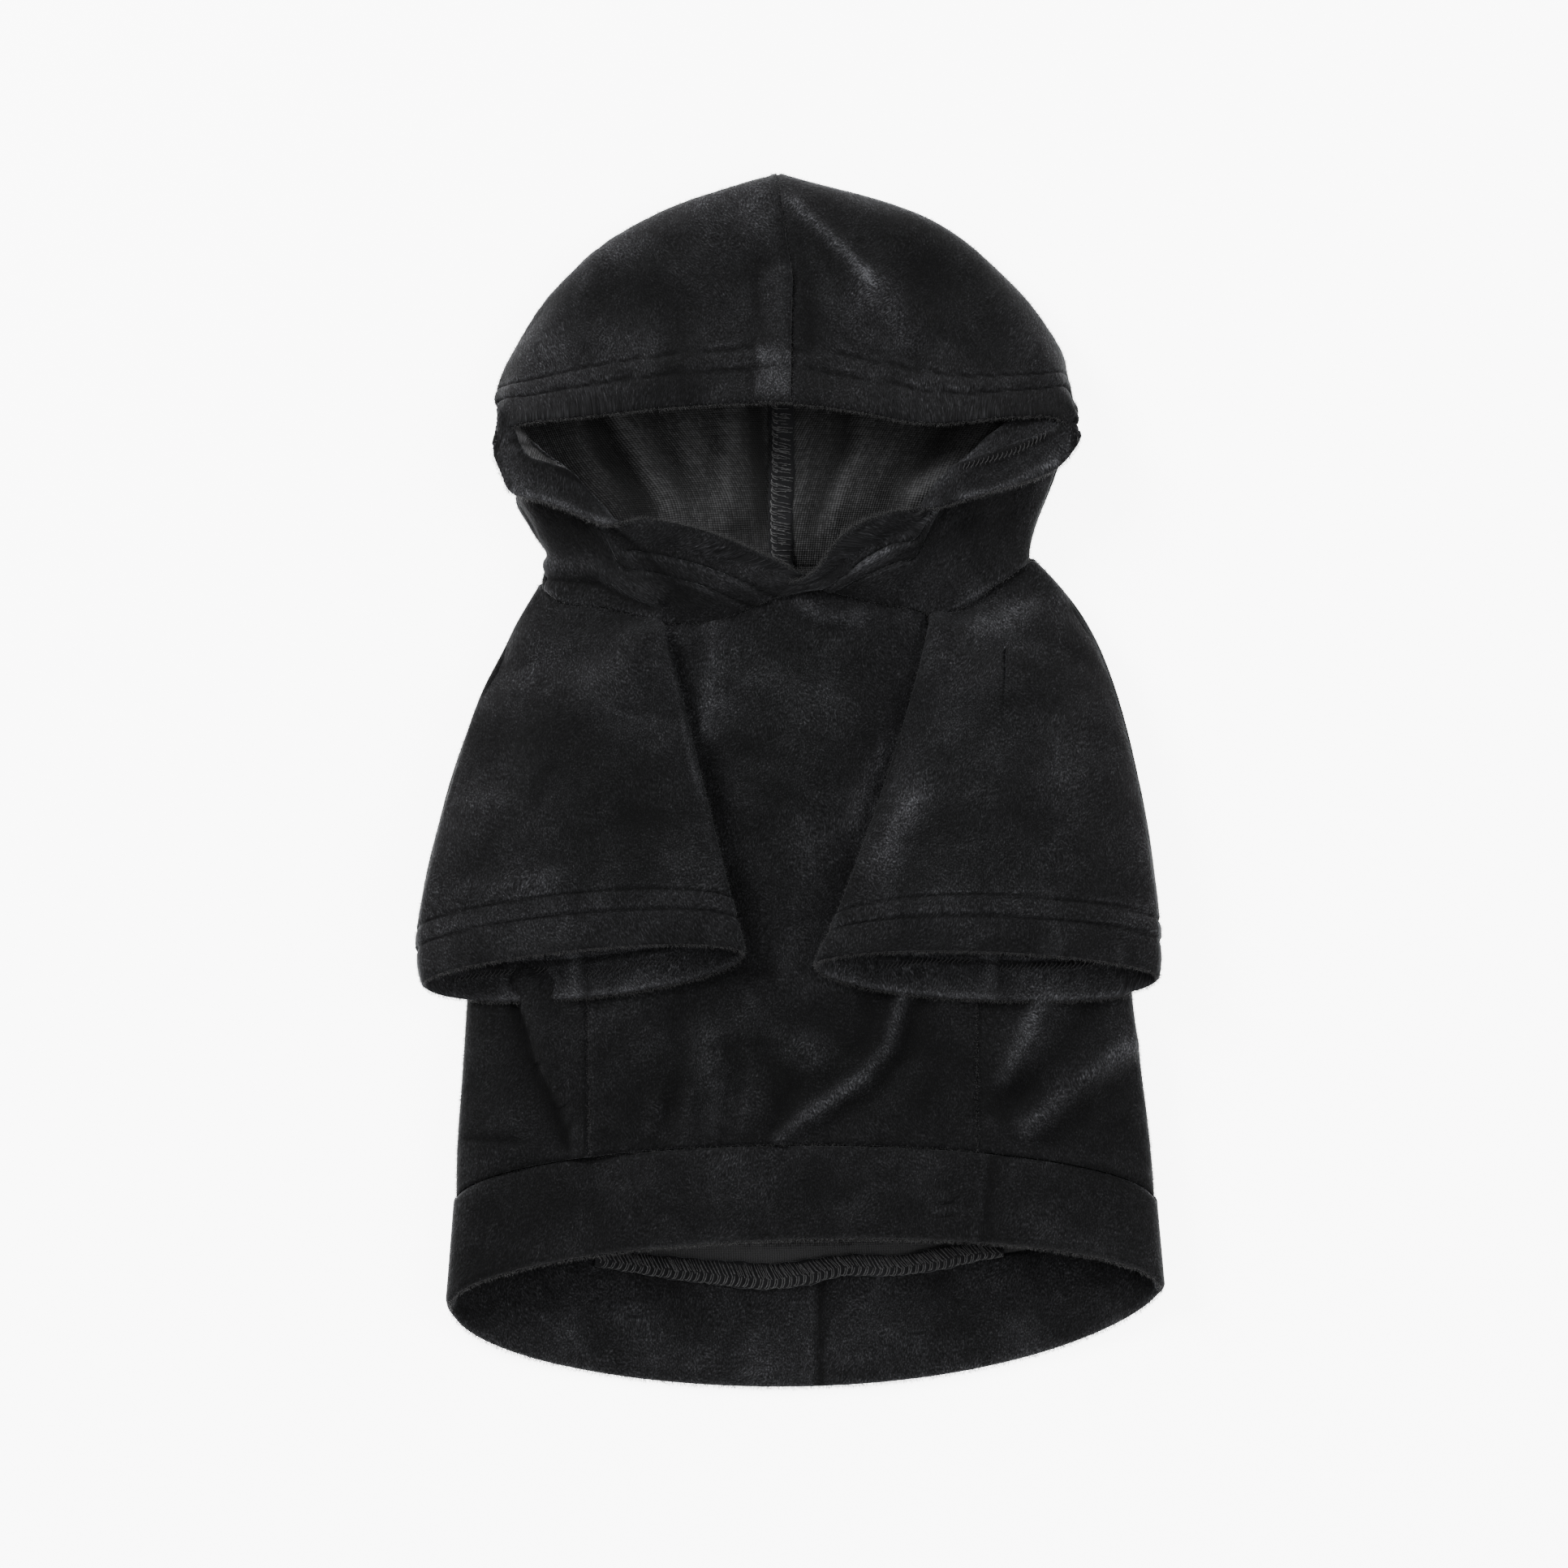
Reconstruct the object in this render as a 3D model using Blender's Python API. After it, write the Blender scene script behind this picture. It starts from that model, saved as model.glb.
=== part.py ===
"""A small dog's hooded top in black short-pile velour, lying belly up with its hood laid open.

Units are metres, +Z up. X runs across the garment, Y runs from the waistband to the hood's tip, and
the back of the garment lies on Z = 0. Every panel is a middle surface, worked out point by point and
thickened into a closed wall. The garment's tube is described by a station (0 at the neck seam, 1 at the
waist seam) and an angle: 90 degrees is the chest's middle, 180 the left side fold, 270 the back's middle.
"""

import math

import bpy
import numpy as np

# Cloth and clearances
WALL = 0.0016
BAND_WALL = 0.0030
SEAM_GAP = 0.0006
LAYER_GAP = 0.0006
NECK_GAP = 0.0011

# The body's tube
BODY_HALF_WIDTH = 0.0993
BODY_HEIGHT = 0.0150
FLOOR_SQUASH = 1.12
NECK_SIDE_Y = 0.0610
NECK_DIP = 0.0130
NECK_BACK_RISE = 0.0040
WAIST_SIDE_Y = -0.1245
WAIST_FRONT_RISE = 0.0166
WAIST_BACK_DROP = 0.0213
ARMPIT_STATION = 0.37
NECK_CORNER_STATION = 0.10
FOLD_WIDTH = 0.0050
FOLD_RISE = 0.0030

# The waistband
BAND_HALF_WIDTH = 0.1052
BAND_LEAN = 0.0048
BAND_SIDE_Y = -0.1535
BAND_FRONT_RISE = 0.0178
BAND_BACK_DROP = 0.0256
BAND_BACK_ARC = 1.20
BAND_BACK_ARC_LEAN = 0.15
BAND_LIFT = 0.0020

# The sleeves
SLEEVE_OUTER_X = 0.1090
SLEEVE_HEIGHT = 0.0105
SLEEVE_APEX_HEIGHT = 0.0028
SLEEVE_DROOP = 0.0085
SLEEVE_BULGE = 0.0094
SLEEVE_INSET = 0.0042
SLEEVE_BASE_LIFT = 0.0014
CUFF_REACH = 0.1200
CUFF_RISE = 0.0060
CUFF_DROP = 0.0085

# The hood
HOOD_HALF_WIDTH = 0.0864
HOOD_LENGTH = 0.1282
HOOD_BASE_Y = 0.0517
HOOD_HEIGHT = 0.0250
HOOD_FOLD = 0.0045
HOOD_NECK_TAKE_IN = 0.955
CHIN_LAP_LIFT = 0.0024

# The overlocked seam allowances inside
OVERLOCK_WIDTH = 0.0084
OVERLOCK_THICKNESS = 0.0014
HOOD_OVERLOCK_LENGTH = 0.0850
WAIST_OVERLOCK_SPAN = 0.0620

# The tube's side folds and height at stations from neck to waist:
# station, left and right half widths as shares of BODY_HALF_WIDTH, height as a share of BODY_HEIGHT
BODY_TABLE = (
    (0.00, 0.750, 0.755, 1.00),
    (0.06, 0.790, 0.810, 0.98),
    (0.19, 0.885, 0.905, 0.96),
    (0.33, 0.930, 0.955, 0.96),
    (0.50, 0.945, 0.980, 0.98),
    (0.68, 0.964, 1.005, 1.00),
    (0.80, 0.978, 1.033, 1.02),
    (0.93, 0.994, 1.062, 1.04),
    (1.00, 0.996, 1.072, 1.04),
)

# The front neck seam: share of the neck's half width, share of NECK_DIP below the neck's side
NECK_TABLE = (
    (-1.00, 0.00),
    (-0.94, 0.35),
    (-0.75, 0.77),
    (-0.50, 0.97),
    (-0.38, 1.00),
    (-0.10, 0.40),
    (0.06, 0.22),
    (0.19, 0.40),
    (0.39, 0.60),
    (0.69, 0.58),
    (0.90, 0.30),
    (1.00, 0.00),
)

# The chest panel's edges: station, left and right edge as shares of BODY_HALF_WIDTH
CHEST_TABLE = (
    (0.00, -0.375, 0.392),
    (0.13, -0.440, 0.440),
    (0.25, -0.515, 0.500),
    (0.37, -0.604, 0.550),
    (0.70, -0.610, 0.548),
    (1.00, -0.604, 0.548),
)

# Each hood half from the chin to the centre seam. Columns: share round the neck, lap lift,
# where the cloth turns over (x, y), its height before and after the turn, and the rim (x, y, height).
# x is a share of HOOD_HALF_WIDTH, y of HOOD_LENGTH above HOOD_BASE_Y, heights of HOOD_HEIGHT.
HOOD_LEFT_TABLE = (
    (-0.010, 0.0, 0.024, 0.062, 0.68, 0.68, 0.024, 0.078, 0.70),
    (0.080, 0.0, -0.207, 0.075, 0.76, 0.76, -0.199, 0.133, 0.86),
    (0.130, 0.0, -0.385, 0.080, 0.80, 0.80, -0.351, 0.175, 0.93),
    (0.190, 0.0, -0.551, 0.133, 0.82, 0.86, -0.518, 0.197, 0.97),
    (0.270, 0.0, -0.651, 0.227, 0.79, 1.00, -0.643, 0.182, 1.02),
    (0.345, 0.0, -0.765, 0.307, 0.77, 0.99, -0.796, 0.232, 0.98),
    (0.417, 0.0, -0.893, 0.369, 0.68, 0.93, -0.935, 0.258, 0.88),
    (0.500, 0.0, -0.946, 0.418, 0.48, 0.85, -1.010, 0.324, 0.79),
    (0.580, 0.0, -0.990, 0.459, 0.25, 0.81, -1.018, 0.365, 0.79),
    (0.660, 0.0, -1.008, 0.487, 0.10, 0.70, -0.957, 0.408, 0.84),
    (0.740, 0.0, -0.962, 0.571, 0.03, 0.62, -0.768, 0.425, 0.94),
    (0.820, 0.0, -0.798, 0.736, 0.03, 0.54, -0.546, 0.446, 0.98),
    (0.900, 0.0, -0.492, 0.893, 0.03, 0.48, -0.296, 0.459, 0.98),
    (1.000, 0.0, -0.051, 0.996, 0.03, 0.46, -0.054, 0.464, 0.96),
)
HOOD_RIGHT_TABLE = (
    (-0.032, 1.1, -0.082, 0.062, 0.87, 0.87, -0.079, 0.084, 0.98),
    (0.014, 1.1, 0.032, 0.068, 0.88, 0.88, 0.015, 0.092, 1.00),
    (0.061, 0.3, 0.193, 0.084, 0.82, 0.82, 0.138, 0.165, 0.96),
    (0.130, 0.0, 0.338, 0.144, 0.84, 0.84, 0.304, 0.212, 1.00),
    (0.194, 0.0, 0.474, 0.268, 0.83, 1.00, 0.474, 0.221, 1.02),
    (0.260, 0.0, 0.685, 0.335, 0.80, 1.02, 0.621, 0.249, 1.00),
    (0.338, 0.0, 0.829, 0.375, 0.74, 0.98, 0.796, 0.281, 0.94),
    (0.404, 0.0, 0.932, 0.406, 0.60, 0.90, 0.896, 0.309, 0.86),
    (0.500, 0.0, 0.960, 0.449, 0.36, 0.84, 0.960, 0.354, 0.80),
    (0.580, 0.0, 0.943, 0.477, 0.20, 0.80, 0.971, 0.384, 0.82),
    (0.660, 0.0, 0.935, 0.524, 0.08, 0.72, 0.893, 0.429, 0.88),
    (0.740, 0.0, 0.904, 0.599, 0.03, 0.64, 0.721, 0.429, 0.96),
    (0.820, 0.0, 0.746, 0.740, 0.03, 0.54, 0.454, 0.416, 1.00),
    (0.900, 0.0, 0.454, 0.893, 0.03, 0.48, 0.176, 0.442, 0.98),
    (1.000, 0.0, -0.051, 0.996, 0.03, 0.46, -0.054, 0.464, 0.96),
)

# Each sleeve's cuff: side (-1 left, 1 right), inner corner (x, y), outer corner (x, y), the inner and the
# outer fold's bow, and where along the sleeve the bow is fullest (over 1 is nearer the cuff). x is a share
# of SLEEVE_OUTER_X, y a share of CUFF_REACH below the neck's side, the bows shares of SLEEVE_BULGE.
SLEEVE_TABLE = (
    ("sleeve_left", -1, -0.135, 0.937, 1.000, 1.013, 0.0, 0.87, 1.15),
    ("sleeve_right", 1, 0.063, 0.965, 0.989, 0.997, 0.4, 0.80, 0.80),
)

# Folds pressed into the top layer. Columns: both ends (x as a share of BODY_HALF_WIDTH, y as a share of
# the way from the neck's side to the waist's), half width and rise as shares of FOLD_WIDTH and FOLD_RISE.
FOLD_TABLE = (
    ((-0.775, 0.730), (-0.639, 0.908), 0.70, 1.00),
    ((0.292, 0.730), (0.201, 0.809), 1.00, 1.00),
    ((0.201, 0.809), (-0.020, 0.889), 1.00, 0.87),
    ((0.695, 0.728), (0.614, 0.803), 1.00, 0.87),
    ((0.987, 0.760), (0.705, 0.879), 1.10, 1.13),
    ((-0.252, 0.752), (-0.257, 0.803), 1.00, 0.73),
)

# How finely each panel is divided
SHOULDER_STATIONS = (0.0, 0.06, 0.13, 0.19, 0.25, 0.31)
BELLY_STATIONS = (0.46, 0.55, 0.64, 0.72, 0.79, 0.86, 0.93, 1.0)
BODY_STATIONS = (*SHOULDER_STATIONS, ARMPIT_STATION, *BELLY_STATIONS)
CHEST_COLUMNS = 16
FLAP_COLUMNS = 6
BACK_COLUMNS = 22
BAND_COLUMNS = 48
BAND_ROWS = 4
SLEEVE_COLUMNS = 32
SLEEVE_STATIONS = (0.0, 0.05, 0.11, 0.19, 0.29, 0.40, 0.52, 0.64, 0.76, 0.88, 1.0)
HOOD_COLUMNS = 32
HOOD_SPAN_POINTS = (3, 2, 2, 4, 2)

LEFT_FOLD = math.pi
RIGHT_FOLD = 2 * math.pi

# Shares round an armhole at its corners: chest seam at the neck, side fold at the neck, side fold at the
# armpit, chest seam at the armpit, and round again
ARMHOLE_CORNERS = (0.0, 0.50, 0.70, 0.80, 1.0)

# The share of a sleeve's length in which it rises clear of the body, over the chest and at the side
RISE_AT_CHEST = 0.05
RISE_AT_SIDE = 0.30

# The share of a sleeve's length where it has its full height, and how blunt its folds' bow is
FULL_HEIGHT_AT = 0.70
BOW_BLUNTNESS = 0.60

# The hood's halves part from one another over the last share round the neck, before the centre seam
CENTRE_SEAM_START = 0.96
CENTRE_SEAM_EASE = 0.03

# A turn in the hood takes at most this share of the cloth beside it. Where the height before and after
# it differs by less than the second value, as a share of HOOD_HEIGHT, the cloth runs on without a fold.
MOST_TURN_SHARE = 0.45
LEAST_TURN = 0.10


def ease(value):
    """0 to 1 with level ends."""
    value = np.clip(value, 0.0, 1.0)
    return value * value * (3.0 - 2.0 * value)


def rounded(value):
    """A sine made boxier, so that a section is a flat tube with round side folds."""
    return np.sign(value) * np.sqrt(np.abs(value))


def column(table, index):
    return np.array([row[index] for row in table], dtype=float)


def through(knots, values, where):
    """A smooth curve through the values at the knots."""
    where = np.clip(where, knots[0], knots[-1])
    slopes = np.gradient(values, knots)
    span = np.clip(np.searchsorted(knots, where, side="right") - 1, 0, len(knots) - 2)
    width = knots[span + 1] - knots[span]
    t = (where - knots[span]) / width
    start = values[span] * (2 * t**3 - 3 * t**2 + 1) + values[span + 1] * (3 * t**2 - 2 * t**3)
    lean = slopes[span] * (t**3 - 2 * t**2 + t) + slopes[span + 1] * (t**3 - t**2)
    return start + width * lean


def side_folds(station):
    """The tube's left and right side folds at a station."""
    left = -BODY_HALF_WIDTH * through(column(BODY_TABLE, 0), column(BODY_TABLE, 1), station)
    right = BODY_HALF_WIDTH * through(column(BODY_TABLE, 0), column(BODY_TABLE, 2), station)
    return left, right


def tube_height(station):
    return BODY_HEIGHT * through(column(BODY_TABLE, 0), column(BODY_TABLE, 3), station)


def neck_y(across, upper):
    """The neck seam's Y at a share across the neck, on the upper or the lower layer."""
    dip = NECK_DIP * through(column(NECK_TABLE, 0), column(NECK_TABLE, 1), across)
    rise = NECK_BACK_RISE * np.sqrt(np.clip(1.0 - across * across, 0.0, 1.0))
    return NECK_SIDE_Y + np.where(upper, -dip, rise)


def waist_y(across, upper):
    arch = np.sqrt(np.clip(1.0 - across * across, 0.0, 1.0))
    return WAIST_SIDE_Y + np.where(upper, WAIST_FRONT_RISE, -WAIST_BACK_DROP) * arch


def fold_height(x, y):
    """How far the pressed folds lift the top layer."""
    total = np.zeros_like(x)
    size = np.array([BODY_HALF_WIDTH, WAIST_SIDE_Y - NECK_SIDE_Y])
    corner = np.array([0.0, NECK_SIDE_Y])
    for first, last, half_width, rise in FOLD_TABLE:
        start = corner + size * first
        run = corner + size * last - start
        along = ((x - start[0]) * run[0] + (y - start[1]) * run[1]) / run.dot(run)
        near = np.clip(along, 0.0, 1.0)
        away = np.hypot(x - start[0] - near * run[0], y - start[1] - near * run[1])
        total = total + rise * FOLD_RISE * np.exp(-((away / (half_width * FOLD_WIDTH)) ** 2))
    return total


def body_point(station, angle):
    """A point of the tube's middle surface."""
    left, right = side_folds(station)
    across = np.cos(angle)
    upper = np.sin(angle) >= 0
    x = (left + right) / 2 + (right - left) / 2 * across
    y = (1 - station) * neck_y(across, upper) + station * waist_y(across, upper)
    height = tube_height(station)
    section = rounded(np.sin(angle))
    section = np.where(upper, section, np.maximum(-1.0, FLOOR_SQUASH * section))
    z = WALL / 2 + height / 2 * (1 + section)
    z = z + np.where(upper, fold_height(x, y) * np.sin(angle), 0.0)
    return np.stack([x, y, z], axis=-1)


def angle_at(station, x):
    """The upper layer's angle where the tube's X is x."""
    left, right = side_folds(station)
    return np.arccos(np.clip((x - (left + right) / 2) / ((right - left) / 2), -1.0, 1.0))


def chest_edges(station):
    stations = column(CHEST_TABLE, 0)
    left = BODY_HALF_WIDTH * np.interp(station, stations, column(CHEST_TABLE, 1))
    right = BODY_HALF_WIDTH * np.interp(station, stations, column(CHEST_TABLE, 2))
    return left, right


def pushed_clear(points, clearance):
    """The points, with those within a clearance of the tube's wall pushed out square to its section."""
    x, y, z = points[:, 0], points[:, 1], points[:, 2]
    across = np.clip(x / BODY_HALF_WIDTH, -1.0, 1.0)
    top, bottom = neck_y(across, True), waist_y(across, True)
    station = np.clip((top - y) / (top - bottom), 0.0, 1.0)
    left, right = side_folds(station)
    half = tube_height(station) / 2
    middle = np.stack([(left + right) / 2, WALL / 2 + half], axis=-1)
    away = np.stack([x, z], axis=-1) - middle
    pressed = np.where(away[:, 1] > 0, fold_height(x, y), 0.0)
    reach = np.stack([(right - left) / 2 + clearance, half + clearance + pressed], axis=-1)
    wide, high = ((away / reach) ** 2).T
    inside = wide + high * high < 1
    # Along its ray from the middle, a point meets the wall where wide * t + (high * t) ** 2 is 1
    square = (np.sqrt(wide**2 + 4 * high**2) - wide) / np.maximum(2 * high**2, 1e-9)
    grow = np.where(high > 1e-4, np.sqrt(square), 1 / np.sqrt(np.maximum(wide, 1e-9)))
    moved = middle + away * np.where(inside, grow, 1.0)[:, None]
    return np.column_stack([moved[:, 0], y, moved[:, 1]])


def sheet(name, points, faces, thickness, material):
    """A closed wall round a middle surface."""
    mesh = bpy.data.meshes.new(name)
    mesh.from_pydata([tuple(point) for point in points], [], faces)
    mesh.validate()
    mesh.shade_smooth()
    mesh.set_sharp_from_angle(angle=math.radians(50))
    mesh.materials.append(material)
    part = bpy.data.objects.new(name, mesh)
    bpy.context.collection.objects.link(part)
    solidify = part.modifiers.new("wall", "SOLIDIFY")
    solidify.thickness = thickness
    solidify.offset = 0.0
    return part


def grid_faces(rows, columns, closed=False, kept=None):
    """Quads of a grid stored row by row. kept(row, column) may leave some out."""
    faces = []
    for row in range(rows - 1):
        for at in range(columns if closed else columns - 1):
            if kept is not None and not kept(row, at):
                continue
            beside = (at + 1) % columns
            faces.append((
                row * columns + at,
                row * columns + beside,
                (row + 1) * columns + beside,
                (row + 1) * columns + at,
            ))
    return faces


def used_only(points, faces):
    """The points that the faces use, with the faces renumbered."""
    used = sorted({index for face in faces for index in face})
    number = {index: place for place, index in enumerate(used)}
    return points[used], [tuple(number[index] for index in face) for face in faces]


def velour(name, colour):
    material = bpy.data.materials.new(name)
    material.use_nodes = True
    shader = material.node_tree.nodes["Principled BSDF"]
    shader.inputs["Base Color"].default_value = (*colour, 1.0)
    shader.inputs["Roughness"].default_value = 0.85
    shader.inputs["Metallic"].default_value = 0.0
    return material


def make_chest(material):
    rows = []
    for station in BODY_STATIONS:
        left, right = chest_edges(station)
        start = angle_at(station, left + SEAM_GAP / 2)
        stop = angle_at(station, right - SEAM_GAP / 2)
        rows.append(body_point(station, np.linspace(start, stop, CHEST_COLUMNS + 1)))
    points = np.concatenate(rows)
    return sheet("chest_panel", points, grid_faces(len(rows), CHEST_COLUMNS + 1), WALL, material)


def make_back(material):
    """The back, which wraps round both sides to the chest below the armpits."""
    rows = []
    for station in BODY_STATIONS:
        left, right = chest_edges(station)
        left_angle = angle_at(station, left - SEAM_GAP / 2)
        right_angle = angle_at(station, right + SEAM_GAP / 2)
        angles = np.concatenate([
            np.linspace(left_angle, LEFT_FOLD, FLAP_COLUMNS + 1)[:-1],
            np.linspace(LEFT_FOLD, RIGHT_FOLD, BACK_COLUMNS + 1),
            np.linspace(RIGHT_FOLD, RIGHT_FOLD + right_angle, FLAP_COLUMNS + 1)[1:],
        ])
        rows.append(body_point(station, angles))
    columns = len(rows[0])
    armpit_row = BODY_STATIONS.index(ARMPIT_STATION)

    def kept(row, at):
        on_flap = at < FLAP_COLUMNS or at >= FLAP_COLUMNS + BACK_COLUMNS
        return row >= armpit_row or not on_flap

    points, faces = used_only(np.concatenate(rows), grid_faces(len(rows), columns, kept=kept))
    return sheet("back_panel", points, faces, WALL, material)


def make_band(material):
    """The waistband, cloth folded double into one thick ring."""
    angles = np.linspace(0, 2 * math.pi, BAND_COLUMNS, endpoint=False)
    sines = np.sin(angles)
    upper = sines >= 0
    left, right = side_folds(1.0)
    seam = body_point(1.0, angles)
    seam[:, 1] -= NECK_GAP
    seam[:, 2] += np.where(upper, 0.0, (BAND_WALL - WALL) / 2)
    lean = BAND_HALF_WIDTH - (right - left) / 2
    rim = seam.copy()
    rim[:, 0] += lean * np.cos(angles)
    arc = np.abs(sines) ** (BAND_BACK_ARC + BAND_BACK_ARC_LEAN * np.cos(angles))
    rim[:, 1] = BAND_SIDE_Y + np.where(upper, BAND_FRONT_RISE * np.abs(sines), -BAND_BACK_DROP * arc)
    rim[:, 1] += BAND_LEAN / 2 * np.cos(angles)
    rim[:, 2] += BAND_LIFT * np.clip(sines, 0.0, 1.0)
    rows = [seam + share * (rim - seam) for share in np.linspace(0, 1, BAND_ROWS + 1)]
    faces = grid_faces(len(rows), BAND_COLUMNS, closed=True)
    return sheet("waistband", np.concatenate(rows), faces, BAND_WALL, material)


def softened(loop, times):
    """A closed loop with its corners rounded."""
    for _ in range(times):
        loop = 0.5 * loop + 0.25 * (np.roll(loop, 1, axis=0) + np.roll(loop, -1, axis=0))
    return loop


def armhole(side, shares):
    """The sleeve's base loop on the tube: neck edge, side fold, armpit and back up the chest seam."""
    armpit = ARMPIT_STATION - SLEEVE_INSET / (NECK_SIDE_Y - WAIST_SIDE_Y)
    edge = 0 if side < 0 else 1
    fold = LEFT_FOLD if side < 0 else 0.0

    def on_edge(station):
        inset = SEAM_GAP + (SLEEVE_INSET - SEAM_GAP) * ease(station / NECK_CORNER_STATION)
        x = chest_edges(station)[edge] + side * inset
        return station, angle_at(station, x)

    top, pit = on_edge(0.0), on_edge(armpit)
    knots = np.array(ARMHOLE_CORNERS)
    stations = np.interp(shares, knots, [0.0, 0.0, armpit, armpit, 0.0])
    angles = np.interp(shares, knots, [top[1], fold, fold, pit[1], top[1]])
    seam = shares > knots[3]
    angles = np.where(seam, on_edge(stations)[1], angles)
    loop = softened(body_point(stations, angles), 1)
    on_fold = (shares >= knots[1]) & (shares <= knots[2])
    loop[:, 2] += np.where(on_fold, 2 * SEAM_GAP, 0.0)
    return np.where((shares > knots[2])[:, None], pushed_clear(loop, SLEEVE_BASE_LIFT), loop)


def make_sleeve(name, side, inner_x, inner_y, outer_x, outer_y, inner_bow, outer_bow, skew, material):
    shares = np.arange(SLEEVE_COLUMNS) / SLEEVE_COLUMNS
    base = armhole(side, shares)
    lower = shares > ARMHOLE_CORNERS[1]
    below = np.where(lower, shares * 2 - 1, 0.0)
    angles = np.where(lower, math.pi * (1 + below**1.5), 2 * math.pi * shares)
    outward = (1 - np.cos(angles)) / 2
    corner = np.array([inner_x * SLEEVE_OUTER_X, NECK_SIDE_Y - inner_y * CUFF_REACH])
    outer = np.array([side * outer_x * SLEEVE_OUTER_X, NECK_SIDE_Y - outer_y * CUFF_REACH])
    cuff = corner + outward[:, None] * (outer - corner)
    cuff[:, 1] += np.where(lower, CUFF_DROP, CUFF_RISE) * np.sin(angles)
    # 0 at the chest seam and 1 well out towards the side fold, over either layer
    sideways = np.where(lower, (ARMHOLE_CORNERS[3] - shares) * 8, shares * 4)
    reach = RISE_AT_CHEST + (RISE_AT_SIDE - RISE_AT_CHEST) * ease(sideways)
    clearance = WALL + LAYER_GAP
    rows = [base]
    for along in SLEEVE_STATIONS[1:]:
        plan = base[:, :2] + along * (cuff - base[:, :2])
        bow = np.where(outward > 0.5, outer_bow * outward**2, inner_bow * (1 - outward) ** 2)
        plan[:, 0] += side * SLEEVE_BULGE * bow * math.sin(math.pi * along**skew) ** BOW_BLUNTNESS
        gap = SLEEVE_APEX_HEIGHT + (SLEEVE_HEIGHT - SLEEVE_APEX_HEIGHT) * ease(along / FULL_HEIGHT_AT)
        level = WALL / 2 + BODY_HEIGHT + clearance - SLEEVE_DROOP * outward**3
        height = level + gap / 2 * (1 + rounded(np.sin(angles)))
        z = base[:, 2] + ease(along / reach) * (height - base[:, 2])
        floor = pushed_clear(np.column_stack([plan, z]), clearance)
        roof = pushed_clear(np.column_stack([plan, z]), clearance + SLEEVE_APEX_HEIGHT)
        share = np.clip(np.sin(angles), 0.0, 1.0)[:, None]
        rows.append(floor + share * (roof - floor))
    if side < 0:
        rows = rows[::-1]
    faces = grid_faces(len(rows), SLEEVE_COLUMNS, closed=True)
    return sheet(name, np.concatenate(rows), faces, WALL, material)


def hood_line(side, row):
    """One line of cloth from the neck seam to the hood's rim, as six points."""
    neck, lap, turn_x, turn_y, low, high, rim_x, rim_y, rim_z = row
    angle = math.pi / 2 - side * math.pi * neck
    start = body_point(0.0, np.array(angle))
    start[0] *= HOOD_NECK_TAKE_IN
    start[1] += NECK_GAP
    start[2] += lap * CHIN_LAP_LIFT
    centre_gap = side * SEAM_GAP / 2 * ease((neck - CENTRE_SEAM_START) / CENTRE_SEAM_EASE)
    start[0] += centre_gap
    turn = np.array([
        turn_x * HOOD_HALF_WIDTH + centre_gap,
        HOOD_BASE_Y + turn_y * HOOD_LENGTH,
        (low + high) / 2 * HOOD_HEIGHT,
    ])
    rim = np.array([
        rim_x * HOOD_HALF_WIDTH + centre_gap,
        HOOD_BASE_Y + rim_y * HOOD_LENGTH,
        rim_z * HOOD_HEIGHT,
    ])
    back, ahead = np.linalg.norm((start - turn)[:2]), np.linalg.norm((rim - turn)[:2])
    before = turn + min(HOOD_FOLD / back, MOST_TURN_SHARE) * (start - turn)
    after = turn + min(HOOD_FOLD / ahead, MOST_TURN_SHARE) * (rim - turn)
    flat = 1 - ease((high - low) / LEAST_TURN)
    before = (1 - flat) * before + flat * (start + 0.6 * (turn - start))
    after = (1 - flat) * after + flat * (turn + 0.4 * (rim - turn))
    before[2] = max(WALL / 2, low * HOOD_HEIGHT)
    after[2] = high * HOOD_HEIGHT
    middle = 0.5 * (after + rim)
    return np.stack([start, before, turn, after, middle, rim])


def make_hood_half(name, side, table, material):
    """One half of the hood, from the chin round its side to the centre seam."""
    row_knots = np.arange(len(table), dtype=float)
    where = np.linspace(0, len(table) - 1, HOOD_COLUMNS + 1)
    columns = np.stack([through(row_knots, column(table, at), where) for at in range(len(table[0]))])
    steps = [
        (span, (step + 1) / count)
        for span, count in enumerate(HOOD_SPAN_POINTS)
        for step in range(count)
    ]
    spans = np.array([0] + [span for span, _ in steps])
    parts = np.array([0.0] + [part for _, part in steps])
    rows = []
    for row in columns.T:
        line = hood_line(side, row)
        knots = np.cumsum(np.append(0.0, np.sqrt(np.linalg.norm(np.diff(line, axis=0), axis=1))))
        at = knots[spans] + parts * (knots[spans + 1] - knots[spans])
        rows.append(np.stack([through(knots, line[:, axis], at) for axis in range(3)], axis=-1))
    rows = np.stack(rows)
    rows[..., 2] = np.maximum(rows[..., 2], WALL / 2)
    if side > 0:
        rows = rows[::-1]
    faces = grid_faces(rows.shape[0], rows.shape[1])
    return sheet(name, rows.reshape(-1, 3), faces, WALL, material)


def make_strip(name, centres, across, material):
    """An overlocked seam allowance: a flat band along a line of centres."""
    half = OVERLOCK_WIDTH / 2
    rows = np.stack([centres - across * half, centres, centres + across * half], axis=1)
    faces = grid_faces(rows.shape[0], 3)
    return sheet(name, rows.reshape(-1, 3), faces, OVERLOCK_THICKNESS, material)


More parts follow.
